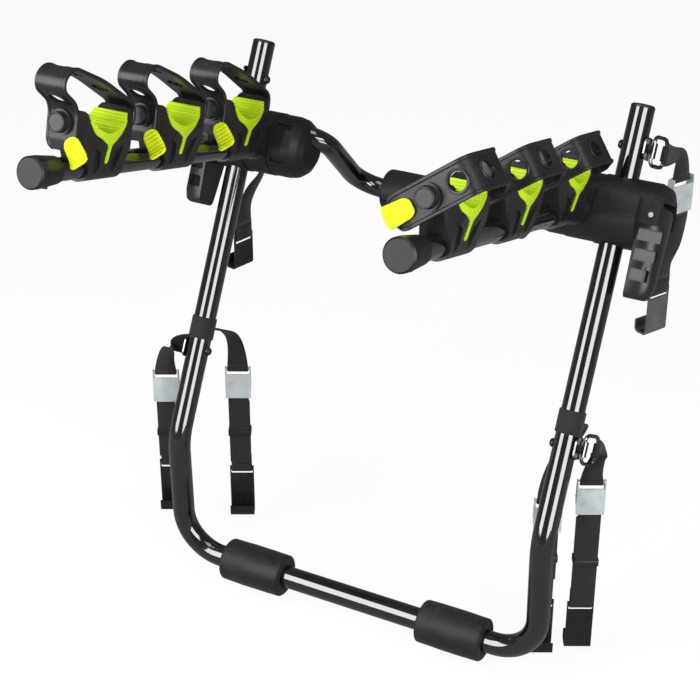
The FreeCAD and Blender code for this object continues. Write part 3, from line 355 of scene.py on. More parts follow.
def spinProfile(bm, profile, centre, axis, steps, closed):
    # turns a cross-section once round an axis and welds the seam
    verts = [bm.verts.new(spot) for spot in profile]
    nextVerts = verts[1:] + verts[:1] if closed else verts[1:]
    edges = [bm.edges.new(pair) for pair in zip(verts, nextVerts)]
    bmesh.ops.spin(bm, geom=verts + edges, cent=centre, axis=axis, angle=2 * math.pi, steps=steps,
                   use_merge=True)
    bmesh.ops.remove_doubles(bm, verts=bm.verts, dist=1e-6)
    bmesh.ops.recalc_face_normals(bm, faces=bm.faces)


def softenEdges(piece, width, angle=35):
    bevel = piece.modifiers.new("softenEdges", "BEVEL")
    bevel.width = width
    bevel.segments = 2
    bevel.limit_method = "ANGLE"
    bevel.angle_limit = math.radians(angle)
    bevel.harden_normals = True


def roundedLine(points, radii, steps):
    # straight runs joined by arcs
    spots = [points[0].copy()]
    for corner, before, after, r in zip(points[1:-1], points, points[2:], radii):
        back = (before - corner).normalized()
        ahead = (after - corner).normalized()
        half = back.angle(ahead) / 2
        centre = corner + (back + ahead).normalized() * (r / math.sin(half))
        first = corner + back * (r / math.tan(half)) - centre
        last = corner + ahead * (r / math.tan(half)) - centre
        axis = first.cross(last).normalized()
        sweep = first.angle(last)
        for i in range(steps + 1):
            spots.append(centre + Matrix.Rotation(sweep * i / steps, 3, axis) @ first)
    spots.append(points[-1].copy())
    return [s for s, t in zip(spots, [None] + spots) if t is None or (s - t).length > 1e-6]


def sweepOutline(bm, outline, spots, acrosses, closed=False, scales=None):
    # extrudes a closed cross-section along the spots; the map holds length and width in metres
    mapLayer = bm.loops.layers.uv.get("strapMap") or bm.loops.layers.uv.new("strapMap")
    count = len(spots)
    length = 0.0
    lengths = [0.0]
    for a, b in zip(spots, spots[1:]):
        length += (b - a).length
        lengths.append(length)

    def ringPoints(i):
        before = spots[(i - 1) % count] if closed or i > 0 else spots[i]
        after = spots[(i + 1) % count] if closed or i < count - 1 else spots[i]
        ahead = (after - before).normalized()
        across = acrosses[i] if isinstance(acrosses, list) else acrosses
        across = (across - ahead * across.dot(ahead)).normalized()
        out = across.cross(ahead)
        wide, deep = scales[i] if scales else (1.0, 1.0)
        return [spots[i] + across * (x * wide) + out * (h * deep) for x, h in outline]

    ring = [bm.verts.new(p) for p in ringPoints(0)]
    firstRing = ring
    edges = [bm.edges.new((a, b)) for a, b in zip(ring, ring[1:] + ring[:1])]
    mapped = {v: (0.0, outline[k][0]) for k, v in enumerate(ring)}
    made = []
    for i in range(1, count):
        result = bmesh.ops.extrude_edge_only(bm, edges=edges)["geom"]
        faces = [g for g in result if isinstance(g, bmesh.types.BMFace)]
        fresh = [g for g in result if isinstance(g, bmesh.types.BMVert)]
        partner = {}
        for face in faces:
            for edge in face.edges:
                a, b = edge.verts
                if (a in fresh) != (b in fresh):
                    partner[b if a in fresh else a] = a if a in fresh else b
        ring = [partner[v] for v in ring]
        for vert, spot in zip(ring, ringPoints(i)):
            vert.co = spot
        for k, v in enumerate(ring):
            mapped[v] = (lengths[i], outline[k][0])
        edges = [bm.edges.get((a, b)) for a, b in zip(ring, ring[1:] + ring[:1])]
        made += faces
    if closed:
        edges += [bm.edges.get((a, b)) for a, b in zip(firstRing, firstRing[1:] + firstRing[:1])]
        made += bmesh.ops.bridge_loops(bm, edges=edges)["faces"]
    else:
        made.append(bm.faces.new(firstRing))
        made.append(bm.faces.new(ring))
    for face in made:
        for loop in face.loops:
            loop[mapLayer].uv = mapped[loop.vert]
    bmesh.ops.recalc_face_normals(bm, faces=made)


def strapOutline(width, thick, rounding):
    w, t, r = width / 2, thick / 2, rounding
    return [(-w + r, -t), (w - r, -t), (w, -t + r), (w, t - r),
            (w - r, t), (-w + r, t), (-w, t - r), (-w, -t + r)]


# foam pads on the crossbar and the upper frame

pad = {"radius": 0.028, "roundOver": 0.0032, "crown": 0.0005, "dent": 0.0004, "dentScale": 55.0,
       "boreBevel": (0.0006, 0.0012), "lowerLength": 0.0865, "lowerBore": 0.01445, "upperBore": 0.01285,
       "aroundSteps": 96, "lengthSteps": 26, "roundSteps": 5}


def makePad(name, node, lowX, highX, y, z, bore):
    bm = bmesh.new()
    r, curve = pad["radius"] - pad["crown"], pad["roundOver"]
    length = highX - lowX
    inward, outward = pad["boreBevel"]
    profile = [(lowX + inward, bore), (lowX, bore + outward)]
    for i in range(pad["roundSteps"] + 1):
        turn = math.pi / 2 * i / pad["roundSteps"]
        profile.append((lowX + curve - curve * math.cos(turn), r - curve + curve * math.sin(turn)))
    for i in range(1, pad["lengthSteps"]):
        u = i / pad["lengthSteps"]
        profile.append((lowX + curve + (length - 2 * curve) * u,
                        r + pad["crown"] * math.sin(math.pi * u)))
    for i in range(pad["roundSteps"] + 1):
        turn = math.pi / 2 * (1 - i / pad["roundSteps"])
        profile.append((highX - curve + curve * math.cos(turn), r - curve + curve * math.sin(turn)))
    profile += [(highX, bore + outward), (highX - inward, bore)]
    profile = [(x, y, z + h) for x, h in profile]
    spinProfile(bm, profile, (0, y, z), (1, 0, 0), pad["aroundSteps"], True)
    # soft dents in the foam's skin, none in the bore
    for v in bm.verts:
        out = Vector((0, v.co.y - y, v.co.z - z))
        if out.length > bore + 0.003:
            v.co += out.normalized() * pad["dent"] * noise.noise(v.co * pad["dentScale"])
    body = "upper_frame" if node == "upper_pad" else "frame"
    piece = finishPiece(name, bm, padFoam, body, [node])


lowBox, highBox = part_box("lower_pads")
length, bore = pad["lowerLength"], pad["lowerBore"]
makePad("lowerPadLeft", "lower_pads", lowBox.x, lowBox.x + length, 0.0, 0.0, bore)
makePad("lowerPadRight", "lower_pads", highBox.x - length, highBox.x, 0.0, 0.0, bore)
lowBox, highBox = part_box("upper_pad")
middle = (lowBox + highBox) / 2
makePad("upperPad", "upper_pad", lowBox.x, highBox.x, middle.y, middle.z, pad["upperBore"])
print("foam pads made")


# cradle straps, tabs, linings and buttons

sides = {"left": -1, "right": 1}
hubMiddle = Vector((0, 0.17689, 0.52212))  # on the axis that the arms and the upper frame turn about
hubLean = 27.0  # how far the uprights lean back, in degrees
arm = {"rootX": 0.213, "tipX": 0.210, "length": 0.4975, "tilt": 15.1, "cradles": (0.385, 0.238, 0.091)}
cradle = {"swivel": 0.050, "width": 0.038, "thick": 0.0045, "corner": 0.0008, "rim": 0.0030,
          "rimSlope": 0.0012, "recess": 0.0012, "hole": 0.0095, "frontHole": 0.0068, "rearHole": 0.0055,
          "cutDepth": 0.016, "bossWidth": 0.0026, "bossEdge": 0.0006, "bossRise": 0.0005, "bossSunk": 0.0004,
          "endRound": 0.012, "endWidth": 0.62, "bevel": 0.0004, "step": 0.003, "aroundSteps": 40}
front, rear = 0.06255, -0.04105  # where a strap lies against its cradle, before and behind the swivel
# each side's route, the corner radii along it and its round holes, as spots beside the swivel
strapShapes = {
    "left": {"turn": 0.0, "holes": ((0.026, 0.076), (0.051, 0.048), (0.034, 0.0)),
             "route": ((-0.030, front - 0.002), (-0.018, front), (0.018, front), (0.038, 0.095),
                       (0.059, 0.077), (0.043, 0.020), (0.016, rear), (-0.011, rear)),
             "radii": (0.020, 0.020, 0.012, 0.020, 0.200, 0.014)},
    "right": {"turn": 54.0, "holes": ((0.033, front), (0.054, 0.040)),
              "route": ((-0.044, front - 0.003), (-0.026, front), (0.050, front), (0.058, 0.014),
                        (0.028, rear), (-0.011, rear)),
              "radii": (0.040, 0.013, 0.012, 0.010)}}


def cradlePlace(sideName, number):
    # the cradle's own frame: across the arm, back along it and up
    side = sides[sideName]
    tilt = math.radians(arm["tilt"])
    drift = side * (arm["tipX"] - arm["rootX"]) / arm["length"]
    back = -Vector((drift, -math.cos(tilt), math.sin(tilt))).normalized()
    up = Vector((1, 0, 0)).cross(back).normalized()
    across = back.cross(up)
    place = Matrix((across, back, up)).transposed().to_4x4()
    root = Vector((side * arm["rootX"], hubMiddle.y, hubMiddle.z))
    place.translation = root - back * arm["cradles"][number - 1]
    return place


def strapTurn(degrees):
    # along the strap and across it, turned from upright about the swivel
    turn = math.radians(degrees)
    return Vector((math.sin(turn), 0, math.cos(turn))), Vector((math.cos(turn), 0, -math.sin(turn)))


def onSwivel(along, v, f):
    # a spot beside the cradle's swivel: v along the strap, f toward the tip of the arm
    return Vector((0, 0, cradle["swivel"])) + along * v - Vector((0, f, 0))


def bossRing(place, r):
    # the raised rim round a hole in the strap
    t, edge, rise = cradle["thick"] / 2, cradle["bossEdge"], cradle["bossRise"]
    outer = r + cradle["bossWidth"]
    profile = [(r, -t + edge), (r, t + rise * 0.4), (r + rise, t + rise), (outer - edge, t + rise),
               (outer, t), (outer, t - cradle["recess"] - cradle["bossSunk"]), (outer, -t + edge)]
    ring = bmesh.new()
    spinProfile(ring, [(x, 0, h) for x, h in profile], (0, 0, 0), (0, 0, 1), cradle["aroundSteps"], True)
    bmesh.ops.transform(ring, matrix=place, verts=ring.verts)
    return ring


def makeCradleStrap(sideName, number):
    shape = strapShapes[sideName]
    along, across = strapTurn(shape["turn"])
    spots = roundedLine([onSwivel(along, v, f) for v, f in shape["route"]], shape["radii"], 10)
    dense = []
    for a, b in zip(spots, spots[1:]):
        parts = max(1, round((b - a).length / cradle["step"]))
        dense += [a.lerp(b, i / parts) for i in range(parts)]
    dense.append(spots[-1])
    w, t, c = cradle["width"] / 2, cradle["thick"] / 2, cradle["corner"]
    rim, recess, slope = cradle["rim"], cradle["recess"], cradle["rimSlope"]
    outline = [(-w + c, -t), (w - c, -t), (w, -t + c), (w, t - c), (w - c, t), (w - rim, t),
               (w - rim - slope, t - recess), (-w + rim + slope, t - recess), (-w + rim, t),
               (-w + c, t), (-w, t - c), (-w, -t + c)]
    # both free ends are rounded off
    run = [0.0]
    for a, b in zip(dense, dense[1:]):
        run.append(run[-1] + (b - a).length)
    scales = []
    for s in run:
        part = min(1.0, min(s, run[-1] - s) / cradle["endRound"])
        full = math.sqrt(max(0.0, 1 - (1 - part) ** 2))
        scales.append((cradle["endWidth"] + (1 - cradle["endWidth"]) * full, 1.0))
    bm = bmesh.new()
    sweepOutline(bm, outline, dense, across, scales=scales)
    # the holes' cutters stand square to the strap
    cutters = bmesh.new()
    bosses = bmesh.new()
    places = [(onSwivel(along, v, f), cradle["hole"], True) for v, f in shape["holes"]]
    places.append((onSwivel(along, 0.0, front), cradle["frontHole"], False))
    places.append((onSwivel(along, 0.0, rear), cradle["rearHole"], False))
    for spot, r, boss in places:
        k = min(range(1, len(dense) - 1), key=lambda i: (dense[i] - spot).length)
        ahead = (dense[k + 1] - dense[k - 1]).normalized()
        out = across.cross(ahead)
        turnTo = Matrix((across, ahead, out)).transposed().to_4x4()
        turnTo.translation = dense[k]
        bmesh.ops.create_cone(cutters, cap_ends=True, segments=cradle["aroundSteps"], radius1=r, radius2=r,
                              depth=cradle["cutDepth"], matrix=turnTo)
        if boss:
            addInto(bosses, bossRing(turnTo, r))
    addInto(bosses, cutAway(bm, cutters))
    bmesh.ops.transform(bosses, matrix=cradlePlace(sideName, number), verts=bosses.verts)
    piece = finishPiece("cradleStrap_%s%d" % (sideName, number), bosses, strapRubber,
                        "cradle_%s_%d" % (sideName, number),
                        ["cradle_strap_%s_%d" % (sideName, number)])
    softenEdges(piece, cradle["bevel"])


tab = {"length": 0.031, "width": 0.024, "thick": 0.0026, "ribHeight": 0.0008, "ribs": 7,
       "ribbed": (0.08, 0.94), "front": 0.0649, "near": {"left": 0.0195, "right": 0.0175},
       "lean": {"left": -37.0, "right": strapShapes["right"]["turn"]}, "curl": 0.0045, "curlStart": 0.62,
       "neck": 0.30, "neckLength": 0.28, "waist": 0.82, "foot": 0.55, "footStart": 0.90, "steps": 72}


def makeTab(sideName, number):
    # a ribbed thumb tab, narrow at the strap and curled away at its free end
    along, across = strapTurn(tab["lean"][sideName])
    near = tab["near"][sideName]
    half = tab["thick"] / 2
    firstRib, lastRib = tab["ribbed"]
    spots, scales = [], []
    for i in range(tab["steps"] + 1):
        u = i / tab["steps"]
        curl = tab["curl"] * max(0.0, (u - tab["curlStart"]) / (1 - tab["curlStart"])) ** 2
        spots.append(onSwivel(along, -(near + tab["length"] * u), tab["front"] + half + curl))
        shoulder = math.sqrt(max(0.0, 1 - (1 - min(1.0, u / tab["neckLength"])) ** 2))
        foot = math.sqrt(max(0.0, 1 - max(0.0, (u - tab["footStart"]) / (1 - tab["footStart"])) ** 2))
        wide = tab["neck"] + (1 - tab["neck"]) * shoulder
        wide *= tab["waist"] + (1 - tab["waist"]) * u
        wide *= tab["foot"] + (1 - tab["foot"]) * foot
        rib = max(0.0, math.sin(2 * math.pi * tab["ribs"] * u)) if firstRib < u < lastRib else 0.0
        scales.append((wide, 1 + 2 * tab["ribHeight"] / tab["thick"] * rib))
    w = tab["width"] / 2
    outline = [(-w, -half * 0.5), (-w * 0.92, -half), (w * 0.92, -half), (w, -half * 0.5), (w, half * 0.4),
               (w * 0.92, half), (w * 0.5, half * 1.15), (0, half * 1.2), (-w * 0.5, half * 1.15),
               (-w * 0.92, half), (-w, half * 0.4)]
    bm = bmesh.new()
    sweepOutline(bm, outline, spots, across * -1, scales=scales)
    bmesh.ops.transform(bm, matrix=cradlePlace(sideName, number), verts=bm.verts)
    finishPiece("thumbTab_%s%d" % (sideName, number), bm, limeTab,
                "cradle_%s_%d" % (sideName, number))


lining = {"bevel": 0.0003, "bevelAngle": 40, "flatAngle": 1.5}


def makeLining(sideName, number):
    # the CAD lining's own shape, freed of its flat facets' edges and given soft edges
    node = nodes["cradle_lining_%s_%d" % (sideName, number)]
    bm = bmesh.new()
    bm.from_mesh(node.data)
    bmesh.ops.remove_doubles(bm, verts=bm.verts, dist=1e-6)
    bmesh.ops.dissolve_limit(bm, angle_limit=math.radians(lining["flatAngle"]), verts=bm.verts,
                             edges=bm.edges)
    piece = finishPiece("cradleLining_%s%d" % (sideName, number), bm, limeLining,
                        "cradle_%s_%d" % (sideName, number), [node.name])
    softenEdges(piece, lining["bevel"], lining["bevelAngle"])


button = {"reach": 0.0745, "radius": 0.0108, "lip": 0.0011, "dish": 0.0006, "sunk": 0.0008, "steps": 40}


def makeButton(sideName, number):
    # the rolled lip and the slightly dished face of the peg that the strap hooks over
    r, lip, dish = button["radius"], button["lip"], button["dish"]
    face = button["reach"] - button["sunk"]
    profile = [(0.0, face + 0.0002), (r * 0.55, face + 0.0005), (r - 2 * lip, face + dish + 0.0002)]
    for i in range(7):
        turn = math.pi * (1 - i / 6)
        profile.append((r - lip + lip * math.cos(turn), face + dish + lip * math.sin(turn)))
    profile += [(r + 0.0002, face - button["sunk"]), (0.0, face - button["sunk"])]
    bm = bmesh.new()
    middle = (0, 0, cradle["swivel"])
    spinProfile(bm, [(x, -f, middle[2]) for x, f in profile], middle, (0, 1, 0), button["steps"], False)
    bmesh.ops.transform(bm, matrix=cradlePlace(sideName, number), verts=bm.verts)
    finishPiece("strapButton_%s%d" % (sideName, number), bm, cradlePlastic,
                "cradle_%s_%d" % (sideName, number))


for sideName in sides:
    for number in (1, 2, 3):
        makeCradleStrap(sideName, number)
        makeButton(sideName, number)
        makeTab(sideName, number)
        makeLining(sideName, number)
print("cradle straps, tabs and linings made")


# release levers on the outer ends of the hubs

lever = {"inner": 0.2864, "outer": 0.3164, "halfWidth": 0.028, "footHalf": 0.0175, "footShift": -0.004,
         "foot": -0.095, "footRound": 0.007, "footLean": 0.004, "footRise": 0.016,
         "middles": (-0.060, -0.040), "shoulder": -0.010, "pivot": 0.002, "fullness": 2.5, "steps": 30,
         "pocketWidths": (0.029, 0.0265, 0.0205), "firstPocket": -0.021, "pitch": 0.023, "pocketHalf": 0.007,
         "pocketRound": 0.0016, "pocketInset": 0.003, "pocketFloor": 0.0026, "pocketTurn": 28.0,
         "cutDepth": 0.04, "bevel": 0.0006, "bevelAngle": 40}


def leverSection(z):
    # back plane, front of the arc, half width and sideways shift of the lever at one height
    x0, x1 = lever["inner"], lever["outer"]
    r = (x1 - x0) / 2
    part = max(0.0, (lever["shoulder"] - z) / (lever["shoulder"] - lever["foot"]))
    half = lever["halfWidth"] + (lever["footHalf"] - lever["halfWidth"]) * part
    if z > lever["pivot"]:
        reach = math.sqrt(max(0.0, r * r - (z - lever["pivot"]) ** 2))
        x0, x1 = x0 + r - reach, x0 + r + reach
    x1 -= lever["footLean"] * max(0.0, (lever["foot"] + lever["footRise"] - z) / lever["footRise"])
    rise = z - lever["foot"]
    curve = lever["footRound"]
    if rise < curve:
        inset = curve - math.sqrt(curve ** 2 - (curve - rise) ** 2)
        half -= inset
        x1 -= inset
    return x0, x1, half, lever["footShift"] * part


def makeLever(sideName):
    # a tapered thumb lever with a full, rounded face and three finger pockets on its near side
    bm = bmesh.new()
    r = (lever["outer"] - lever["inner"]) / 2
    foot = lever["foot"]
    heights = [foot + lever["footRound"] * (1 - math.cos(math.radians(15 * i))) for i in range(6)]
    heights += [foot + lever["footRise"], *lever["middles"], lever["shoulder"], lever["pivot"]]
    heights += [lever["pivot"] + r * math.sin(math.radians(12 * i)) for i in range(1, 8)]
    power = 2 / lever["fullness"]
    rings = []
    for z in heights:
        x0, x1, half, shift = leverSection(z)
        ring = []
        for i in range(lever["steps"] + 1):
            turn = math.pi * i / lever["steps"]
            c, w = math.cos(turn), math.sin(turn)
            y = shift - math.copysign(half * abs(c) ** power, c)
            ring.append(bm.verts.new((x0 + (x1 - x0) * max(0.0, w) ** power, y, z)))
        rings.append(ring)
    for low, high in zip(rings, rings[1:]):
        for i in range(len(low)):
            j = (i + 1) % len(low)
            bm.faces.new((low[i], low[j], high[j], high[i]))
    bm.faces.new(rings[0])
    bm.faces.new(rings[-1])
    bmesh.ops.recalc_face_normals(bm, faces=bm.faces)
    cutters = bmesh.new()
    turn = math.radians(lever["pocketTurn"])
    across = Vector((math.cos(turn), math.sin(turn), 0))
    out = Vector((math.sin(turn), -math.cos(turn), 0))
    for i, width in enumerate(lever["pocketWidths"]):
        z = lever["firstPocket"] - lever["pitch"] * i
        x0, x1, half, shift = leverSection(z)
        corner = Vector((x0, shift - half, 0))
        middle = corner + across * (lever["pocketInset"] + width / 2)
        middle += out * (lever["cutDepth"] / 2 - lever["pocketFloor"])
        made = bmesh.ops.create_cube(cutters, size=1.0)["verts"]
        place = Matrix((across, Vector((0, 0, 1)), -out)).transposed().to_4x4()
        place.translation = middle + Vector((0, 0, z))
        bmesh.ops.scale(cutters, vec=(width, 2 * lever["pocketHalf"], lever["cutDepth"]), verts=made)
        bmesh.ops.transform(cutters, matrix=place, verts=made)
        long = [e for e in {e for v in made for e in v.link_edges}
                if abs((e.verts[0].co - e.verts[1].co).dot(out)) > lever["cutDepth"] / 2]
        bmesh.ops.bevel(cutters, geom=long, offset=lever["pocketRound"], segments=4, profile=0.5,
                        affect="EDGES")
    bmesh.ops.recalc_face_normals(cutters, faces=cutters.faces)
    bm = cutAway(bm, cutters)
    bmesh.ops.scale(bm, vec=(sides[sideName], 1, 1), verts=bm.verts)
    lean = Matrix.Rotation(math.radians(-hubLean), 4, "X")
    bmesh.ops.transform(bm, matrix=Matrix.Translation(hubMiddle) @ lean, verts=bm.verts)
    bmesh.ops.recalc_face_normals(bm, faces=bm.faces)
    piece = finishPiece("releaseLever_" + sideName, bm, cradlePlastic, "lever_" + sideName,
                        ["release_lever_" + sideName])
    softenEdges(piece, lever["bevel"], lever["bevelAngle"])


for sideName in sides:
    makeLever(sideName)
print("release levers made")


# webbing straps with their bands

web = {"width": 0.028, "thick": 0.0016, "gap": 0.0003, "pitch": 0.0022, "folds": 7, "line": -0.0046,
       "gather": 0.3, "rounding": 0.0006, "collarGap": 0.00015, "wave": 0.003, "waveStep": 2.1,
       "above": 0.014, "below": 0.024, "tail": 0.026, "looseTail": 0.020, "pull": 0.6, "twistSteps": 22,
       "eyeSteps": 20, "collarSteps": 48}
upright = {"span": 0.254, "radius": 0.0143, "knee": Vector((0, -0.003801, 0.1675))}
ringPlace = {"x": 0.0189, "y": 0.0130, "turn": 60.0, "depth": 0.020, "wire": 0.0024, "anchorWidth": 0.018}
buckle = {"bar": 0.0020, "barT": -0.001, "barZ": 0.022}
hook = {"thick": 0.0026, "bar": 0.006, "slack": 0.0006}
upWay = Vector((0, math.sin(math.radians(hubLean)), math.cos(math.radians(hubLean))))
upZ = Vector((0, 0, 1))

# up and collar are heights along the upright, of the strap's ring or of the loop round the tube itself;
# hank holds the top and bottom of the folds and end the hook's place, measured from the buckle
straps = {
    "upper_right": {"side": 1, "up": 0.475, "buckle": (0.287, 0.296, 0.505), "angle": 64,
                    "hook": (0.289, 0.246, 0.403), "hookAngle": 64},
    "upper_left": {"side": -1, "up": 0.475, "buckle": (-0.285, 0.272, 0.498), "angle": 110,
                   "hook": (-0.282, 0.212, 0.368), "hookAngle": 76},
    "left_outer": {"side": -1, "up": 0.1195, "buckle": (-0.304, 0.046, 0.208), "angle": 28,
                   "hank": (-0.032, -0.105), "end": -0.128},
    "left_inner": {"side": -1, "collar": 0.148, "buckle": (-0.243, 0.126, 0.190), "angle": 28,
                   "hank": (-0.030, -0.122), "end": -0.146},
    "right_outer": {"side": 1, "up": 0.1195, "buckle": (0.283, 0.070, 0.200), "angle": 28,
                    "hank": (-0.030, -0.152), "end": -0.168},
    "right_inner": {"side": 1, "collar": 0.148, "buckle": (0.232, 0.066, 0.160), "angle": 28,
                    "hank": (-0.030, -0.090), "end": -0.140}}
webOutline = strapOutline(web["width"], web["thick"], web["rounding"])


def strapAxes(angle):
    turn = math.radians(angle)
    return Vector((math.cos(turn), math.sin(turn), 0)), Vector((-math.sin(turn), math.cos(turn), 0))


def webRound(bm, centre, way, r, outline, steps):
    # webbing wrapped once round a bar or a tube
    out = way.orthogonal().normalized()
    spots = [centre + Matrix.Rotation(2 * math.pi * i / steps, 3, way) @ out * r for i in range(steps)]
    sweepOutline(bm, outline, spots, way, closed=True)


def barEye(bm, centre, way, bar, length):
    outline = strapOutline(length, web["thick"], web["rounding"])
    webRound(bm, centre, way, bar + web["gap"] + web["thick"] / 2, outline, web["eyeSteps"])


def twistedWeb(bm, first, way, sideWay, end, endWay, endSide):
    # a free run that turns from one bar's direction to the other's and gathers in its middle
    if sideWay.dot(endSide) < 0:
        sideWay = sideWay * -1
    pull = (end - first).length * web["pull"]
    p1, p2 = first + way * pull, end - endWay * pull
    spots, sides, scales = [], [], []
    for i in range(web["twistSteps"] + 1):
        u = i / web["twistSteps"]
        v = 1 - u
        spots.append(first * v ** 3 + p1 * (3 * u * v ** 2) + p2 * (3 * u ** 2 * v) + end * u ** 3)
        sides.append(sideWay * v + endSide * u)
        scales.append((1 - web["gather"] * math.sin(math.pi * u), 1.0))
    sweepOutline(bm, webOutline, spots, sides, scales=scales)


def makeWebbing(name, strap):
    bm = bmesh.new()
    wide, thin = strapAxes(strap["angle"])
    centre = Vector(strap["buckle"])
    halfWeb = web["gap"] + web["thick"] / 2
    bar = centre + thin * buckle["barT"] + upZ * buckle["barZ"]
    end = bar + upZ * (buckle["bar"] + halfWeb)
    barEye(bm, bar, wide, buckle["bar"], web["width"])
    if "collar" in strap:
        axis = upright["knee"] + upWay * strap["collar"] + Vector((strap["side"] * upright["span"], 0, 0))
        r = upright["radius"] + web["collarGap"] + web["thick"] / 2
        webRound(bm, axis, upWay, r, webOutline, web["collarSteps"])
        back = Vector((1, 0, 0)).cross(upWay) * -1
        twistedWeb(bm, axis + back * r, back, Vector((1, 0, 0)), end, -upZ, wide)
    else:
        turn = math.radians(ringPlace["turn"])
        out = Vector((math.cos(turn), math.sin(turn), 0))
        spot = Vector((ringPlace["x"], ringPlace["y"], 0)) + out * ringPlace["depth"]
        spot = Matrix.Rotation(math.radians(-hubLean), 3, "X") @ spot
        spot += upright["knee"] + upWay * strap["up"] + Vector((upright["span"], 0, 0))
        spot.x *= strap["side"]
        barEye(bm, spot, upWay, ringPlace["wire"], ringPlace["anchorWidth"])
        way = end - spot
        way = (way - upWay * way.dot(upWay)).normalized()
        twistedWeb(bm, spot + way * (ringPlace["wire"] + halfWeb), way, upWay, end, -upZ, wide)
    hookTurn = hook["thick"] / 2 + halfWeb
    if "hank" in strap:
        high, low = strap["hank"]
        points = [(web["line"], web["above"])]
        for i in range(web["folds"]):
            t = web["line"] + web["pitch"] * i
            wave = web["wave"] * math.sin(web["waveStep"] * i)
            if i > 0:
                points.append((t, points[-1][1]))
            if i == web["folds"] - 1:
                points.append((t, strap["end"]))
            elif i % 2 == 0:
                points.append((t, low + wave))
            else:
                points.append((t, high - abs(wave)))
        t = points[-1][0]
        points.append((t + 2 * hookTurn, strap["end"]))
        points.append((t + 2 * hookTurn, strap["end"] + web["tail"]))
        radii = [web["pitch"] / 2] * (len(points) - 4) + [hookTurn, hookTurn]
        route = [centre + thin * a + upZ * b for a, b in points]
        sweepOutline(bm, webOutline, roundedLine(route, radii, 6), wide)
    else:
        top = centre + thin * web["line"] + upZ * web["above"]
        low = centre + thin * web["line"] - upZ * web["below"]
        hookWide, hookThin = strapAxes(strap["hookAngle"])
        z = -hook["bar"] - halfWeb - hook["slack"]
        loop = [(-hookTurn, web["above"]), (-hookTurn, z), (hookTurn, z), (hookTurn, web["looseTail"])]
        route = [Vector(strap["hook"]) + hookThin * a + upZ * b for a, b in loop]
        sweepOutline(bm, webOutline, [top, low], wide)
        twistedWeb(bm, low, -upZ, wide, route[0], -upZ, hookWide)
        sweepOutline(bm, webOutline, roundedLine(route, [hookTurn, hookTurn], 8), hookWide)
    finishPiece("webbing" + name.title().replace("_", ""), bm, webbing, "frame",
                ["webbing_" + name])


bandLoop = {"height": 0.008, "thick": 0.0012, "spare": 0.0003, "rounding": 0.0003, "corner": 0.0009}


def makeBand(name, strap):
    # the band round the middle of a hank
    wide, thin = strapAxes(strap["angle"])
    z = sum(strap["hank"]) / 2
    grow = bandLoop["spare"] + bandLoop["thick"] / 2
    lowT = web["line"] - web["thick"] / 2 - grow
    highT = web["line"] + web["pitch"] * (web["folds"] - 1) + web["thick"] / 2 + grow
    half = web["width"] / 2 + grow
    corners = [(-half, lowT), (half, lowT), (half, highT), (-half, highT)]
    route = [Vector(strap["buckle"]) + wide * a + thin * b + upZ * z for a, b in corners]
    start = (route[0] + route[1]) / 2
    spots = roundedLine([start] + route[1:] + [route[0], start], [bandLoop["corner"]] * 4, 5)[:-1]
    bm = bmesh.new()
    outline = strapOutline(bandLoop["height"], bandLoop["thick"], bandLoop["rounding"])
    sweepOutline(bm, outline, spots, upZ, closed=True)
    finishPiece("hankBand" + name.title().replace("_", ""), bm, strapRubber, "frame",
                ["hank_bands"])


for name, strap in straps.items():
    makeWebbing(name, strap)
    if "hank" in strap:
        makeBand(name, strap)
print("webbing made")


# floor, light and camera

setting = {"cameraPlace": (0.8345, -1.5545, 1.2960), "azimuth": 28.34, "elevation": 27.95, "lens": 86.85,
           "floorSize": 9.0, "floorDrop": 0.002, "paper": 0.92, "paperRoughness": 0.85, "floorWhite": 0.90,
           "floorReflected": 0.16, "worldLight": 0.32, "worldSeen": 1.0, "worldReflected": -0.20}
lamps = {
    "stripLeft": {"place": (-0.97, -1.80, 1.39), "aim": (0.1, 0.1, 0.35), "size": (1.5, 2.0), "power": 66},
    "stripRight": {"place": (2.07, -1.37, 1.18), "aim": (0.1, 0.1, 0.35), "size": (1.5, 2.0), "power": 66},
    "softboxTop": {"place": (0.2, -0.3, 2.9), "aim": (0, 0, 0.3), "size": (1.4, 1.4), "power": 16}}

bm = bmesh.new()
bmesh.ops.create_grid(bm, x_segments=1, y_segments=1, size=setting["floorSize"],
                      matrix=Matrix.Translation((0, 0, cadBox[0][2] - setting["floorDrop"])))
floorMesh = bpy.data.meshes.new("floor")
bm.to_mesh(floorMesh)
bm.free()
floor = bpy.data.objects.new("floor", floorMesh)
bpy.context.scene.collection.objects.link(floor)
paper = bpy.data.materials.new("studioPaper")
paper.use_nodes = True
tree = paper.node_tree
shader = tree.nodes["Principled BSDF"]
shader.inputs["Base Color"].default_value = (setting["paper"],) * 3 + (1,)
shader.inputs["Roughness"].default_value = setting["paperRoughness"]
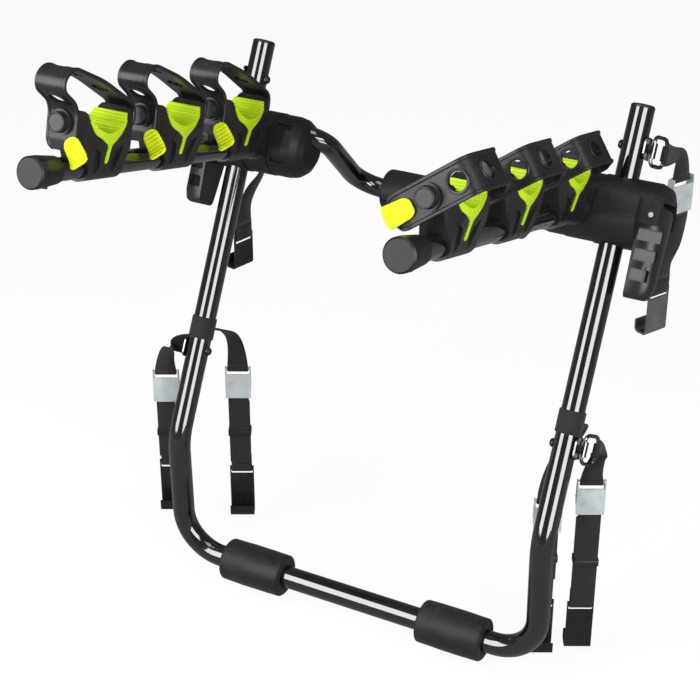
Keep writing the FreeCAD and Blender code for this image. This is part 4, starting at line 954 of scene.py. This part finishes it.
# reflections see a darker floor than the camera does, so that black pieces stay black
rays = addNode(tree, "ShaderNodeLightPath")
glow = addNode(tree, "ShaderNodeEmission", {"Color": (1, 1, 1, 1)})
strength = mathNode(tree, "MULTIPLY_ADD", rays.outputs["Is Glossy Ray"], setting["floorReflected"],
                    rays.outputs["Is Camera Ray"])
tree.links.new(strength, glow.inputs["Strength"])
seen = mathNode(tree, "MAXIMUM", rays.outputs["Is Glossy Ray"], rays.outputs["Is Camera Ray"])
blend = addNode(tree, "ShaderNodeMixShader", {0: mathNode(tree, "MULTIPLY", seen, setting["floorWhite"]),
                                              1: shader.outputs[0], 2: glow.outputs[0]})
tree.links.new(blend.outputs[0], tree.nodes["Material Output"].inputs["Surface"])
floorMesh.materials.append(paper)

world = bpy.data.worlds.new("studio")
bpy.context.scene.world = world
world.use_nodes = True
tree = world.node_tree
rays = addNode(tree, "ShaderNodeLightPath")
seen = mathNode(tree, "MAXIMUM", rays.outputs["Is Camera Ray"], rays.outputs["Is Transmission Ray"])
strength = addNode(tree, "ShaderNodeMapRange",
                   {"Value": seen, "To Min": setting["worldLight"], "To Max": setting["worldSeen"]})
strength = mathNode(tree, "MULTIPLY_ADD", rays.outputs["Is Glossy Ray"], setting["worldReflected"],
                    strength.outputs[0])
tree.nodes["Background"].inputs["Color"].default_value = (1, 1, 1, 1)
tree.links.new(strength, tree.nodes["Background"].inputs["Strength"])

for name, lamp in lamps.items():
    light = bpy.data.lights.new(name, "AREA")
    light.shape = "RECTANGLE"
    light.size, light.size_y = lamp["size"]
    light.energy = lamp["power"]
    stand = bpy.data.objects.new(name, light)
    bpy.context.scene.collection.objects.link(stand)
    stand.location = lamp["place"]
    turn = (Vector(lamp["aim"]) - Vector(lamp["place"])).to_track_quat("-Z", "Y")
    stand.rotation_euler = turn.to_euler()

view = bpy.data.cameras.new("photoView")
view.lens = setting["lens"]
view.sensor_width = 36.0
view.clip_end = 60.0
camera = bpy.data.objects.new("photoView", view)
bpy.context.scene.collection.objects.link(camera)
a, e = math.radians(setting["azimuth"]), math.radians(setting["elevation"])
camera.location = setting["cameraPlace"]
back = Vector((math.sin(a) * math.cos(e), -math.cos(a) * math.cos(e), math.sin(e)))
camera.rotation_euler = (-back).to_track_quat("-Z", "Y").to_euler()
bpy.context.scene.camera = camera
bpy.context.scene.view_settings.view_transform = "Standard"
print("floor, light and camera set")
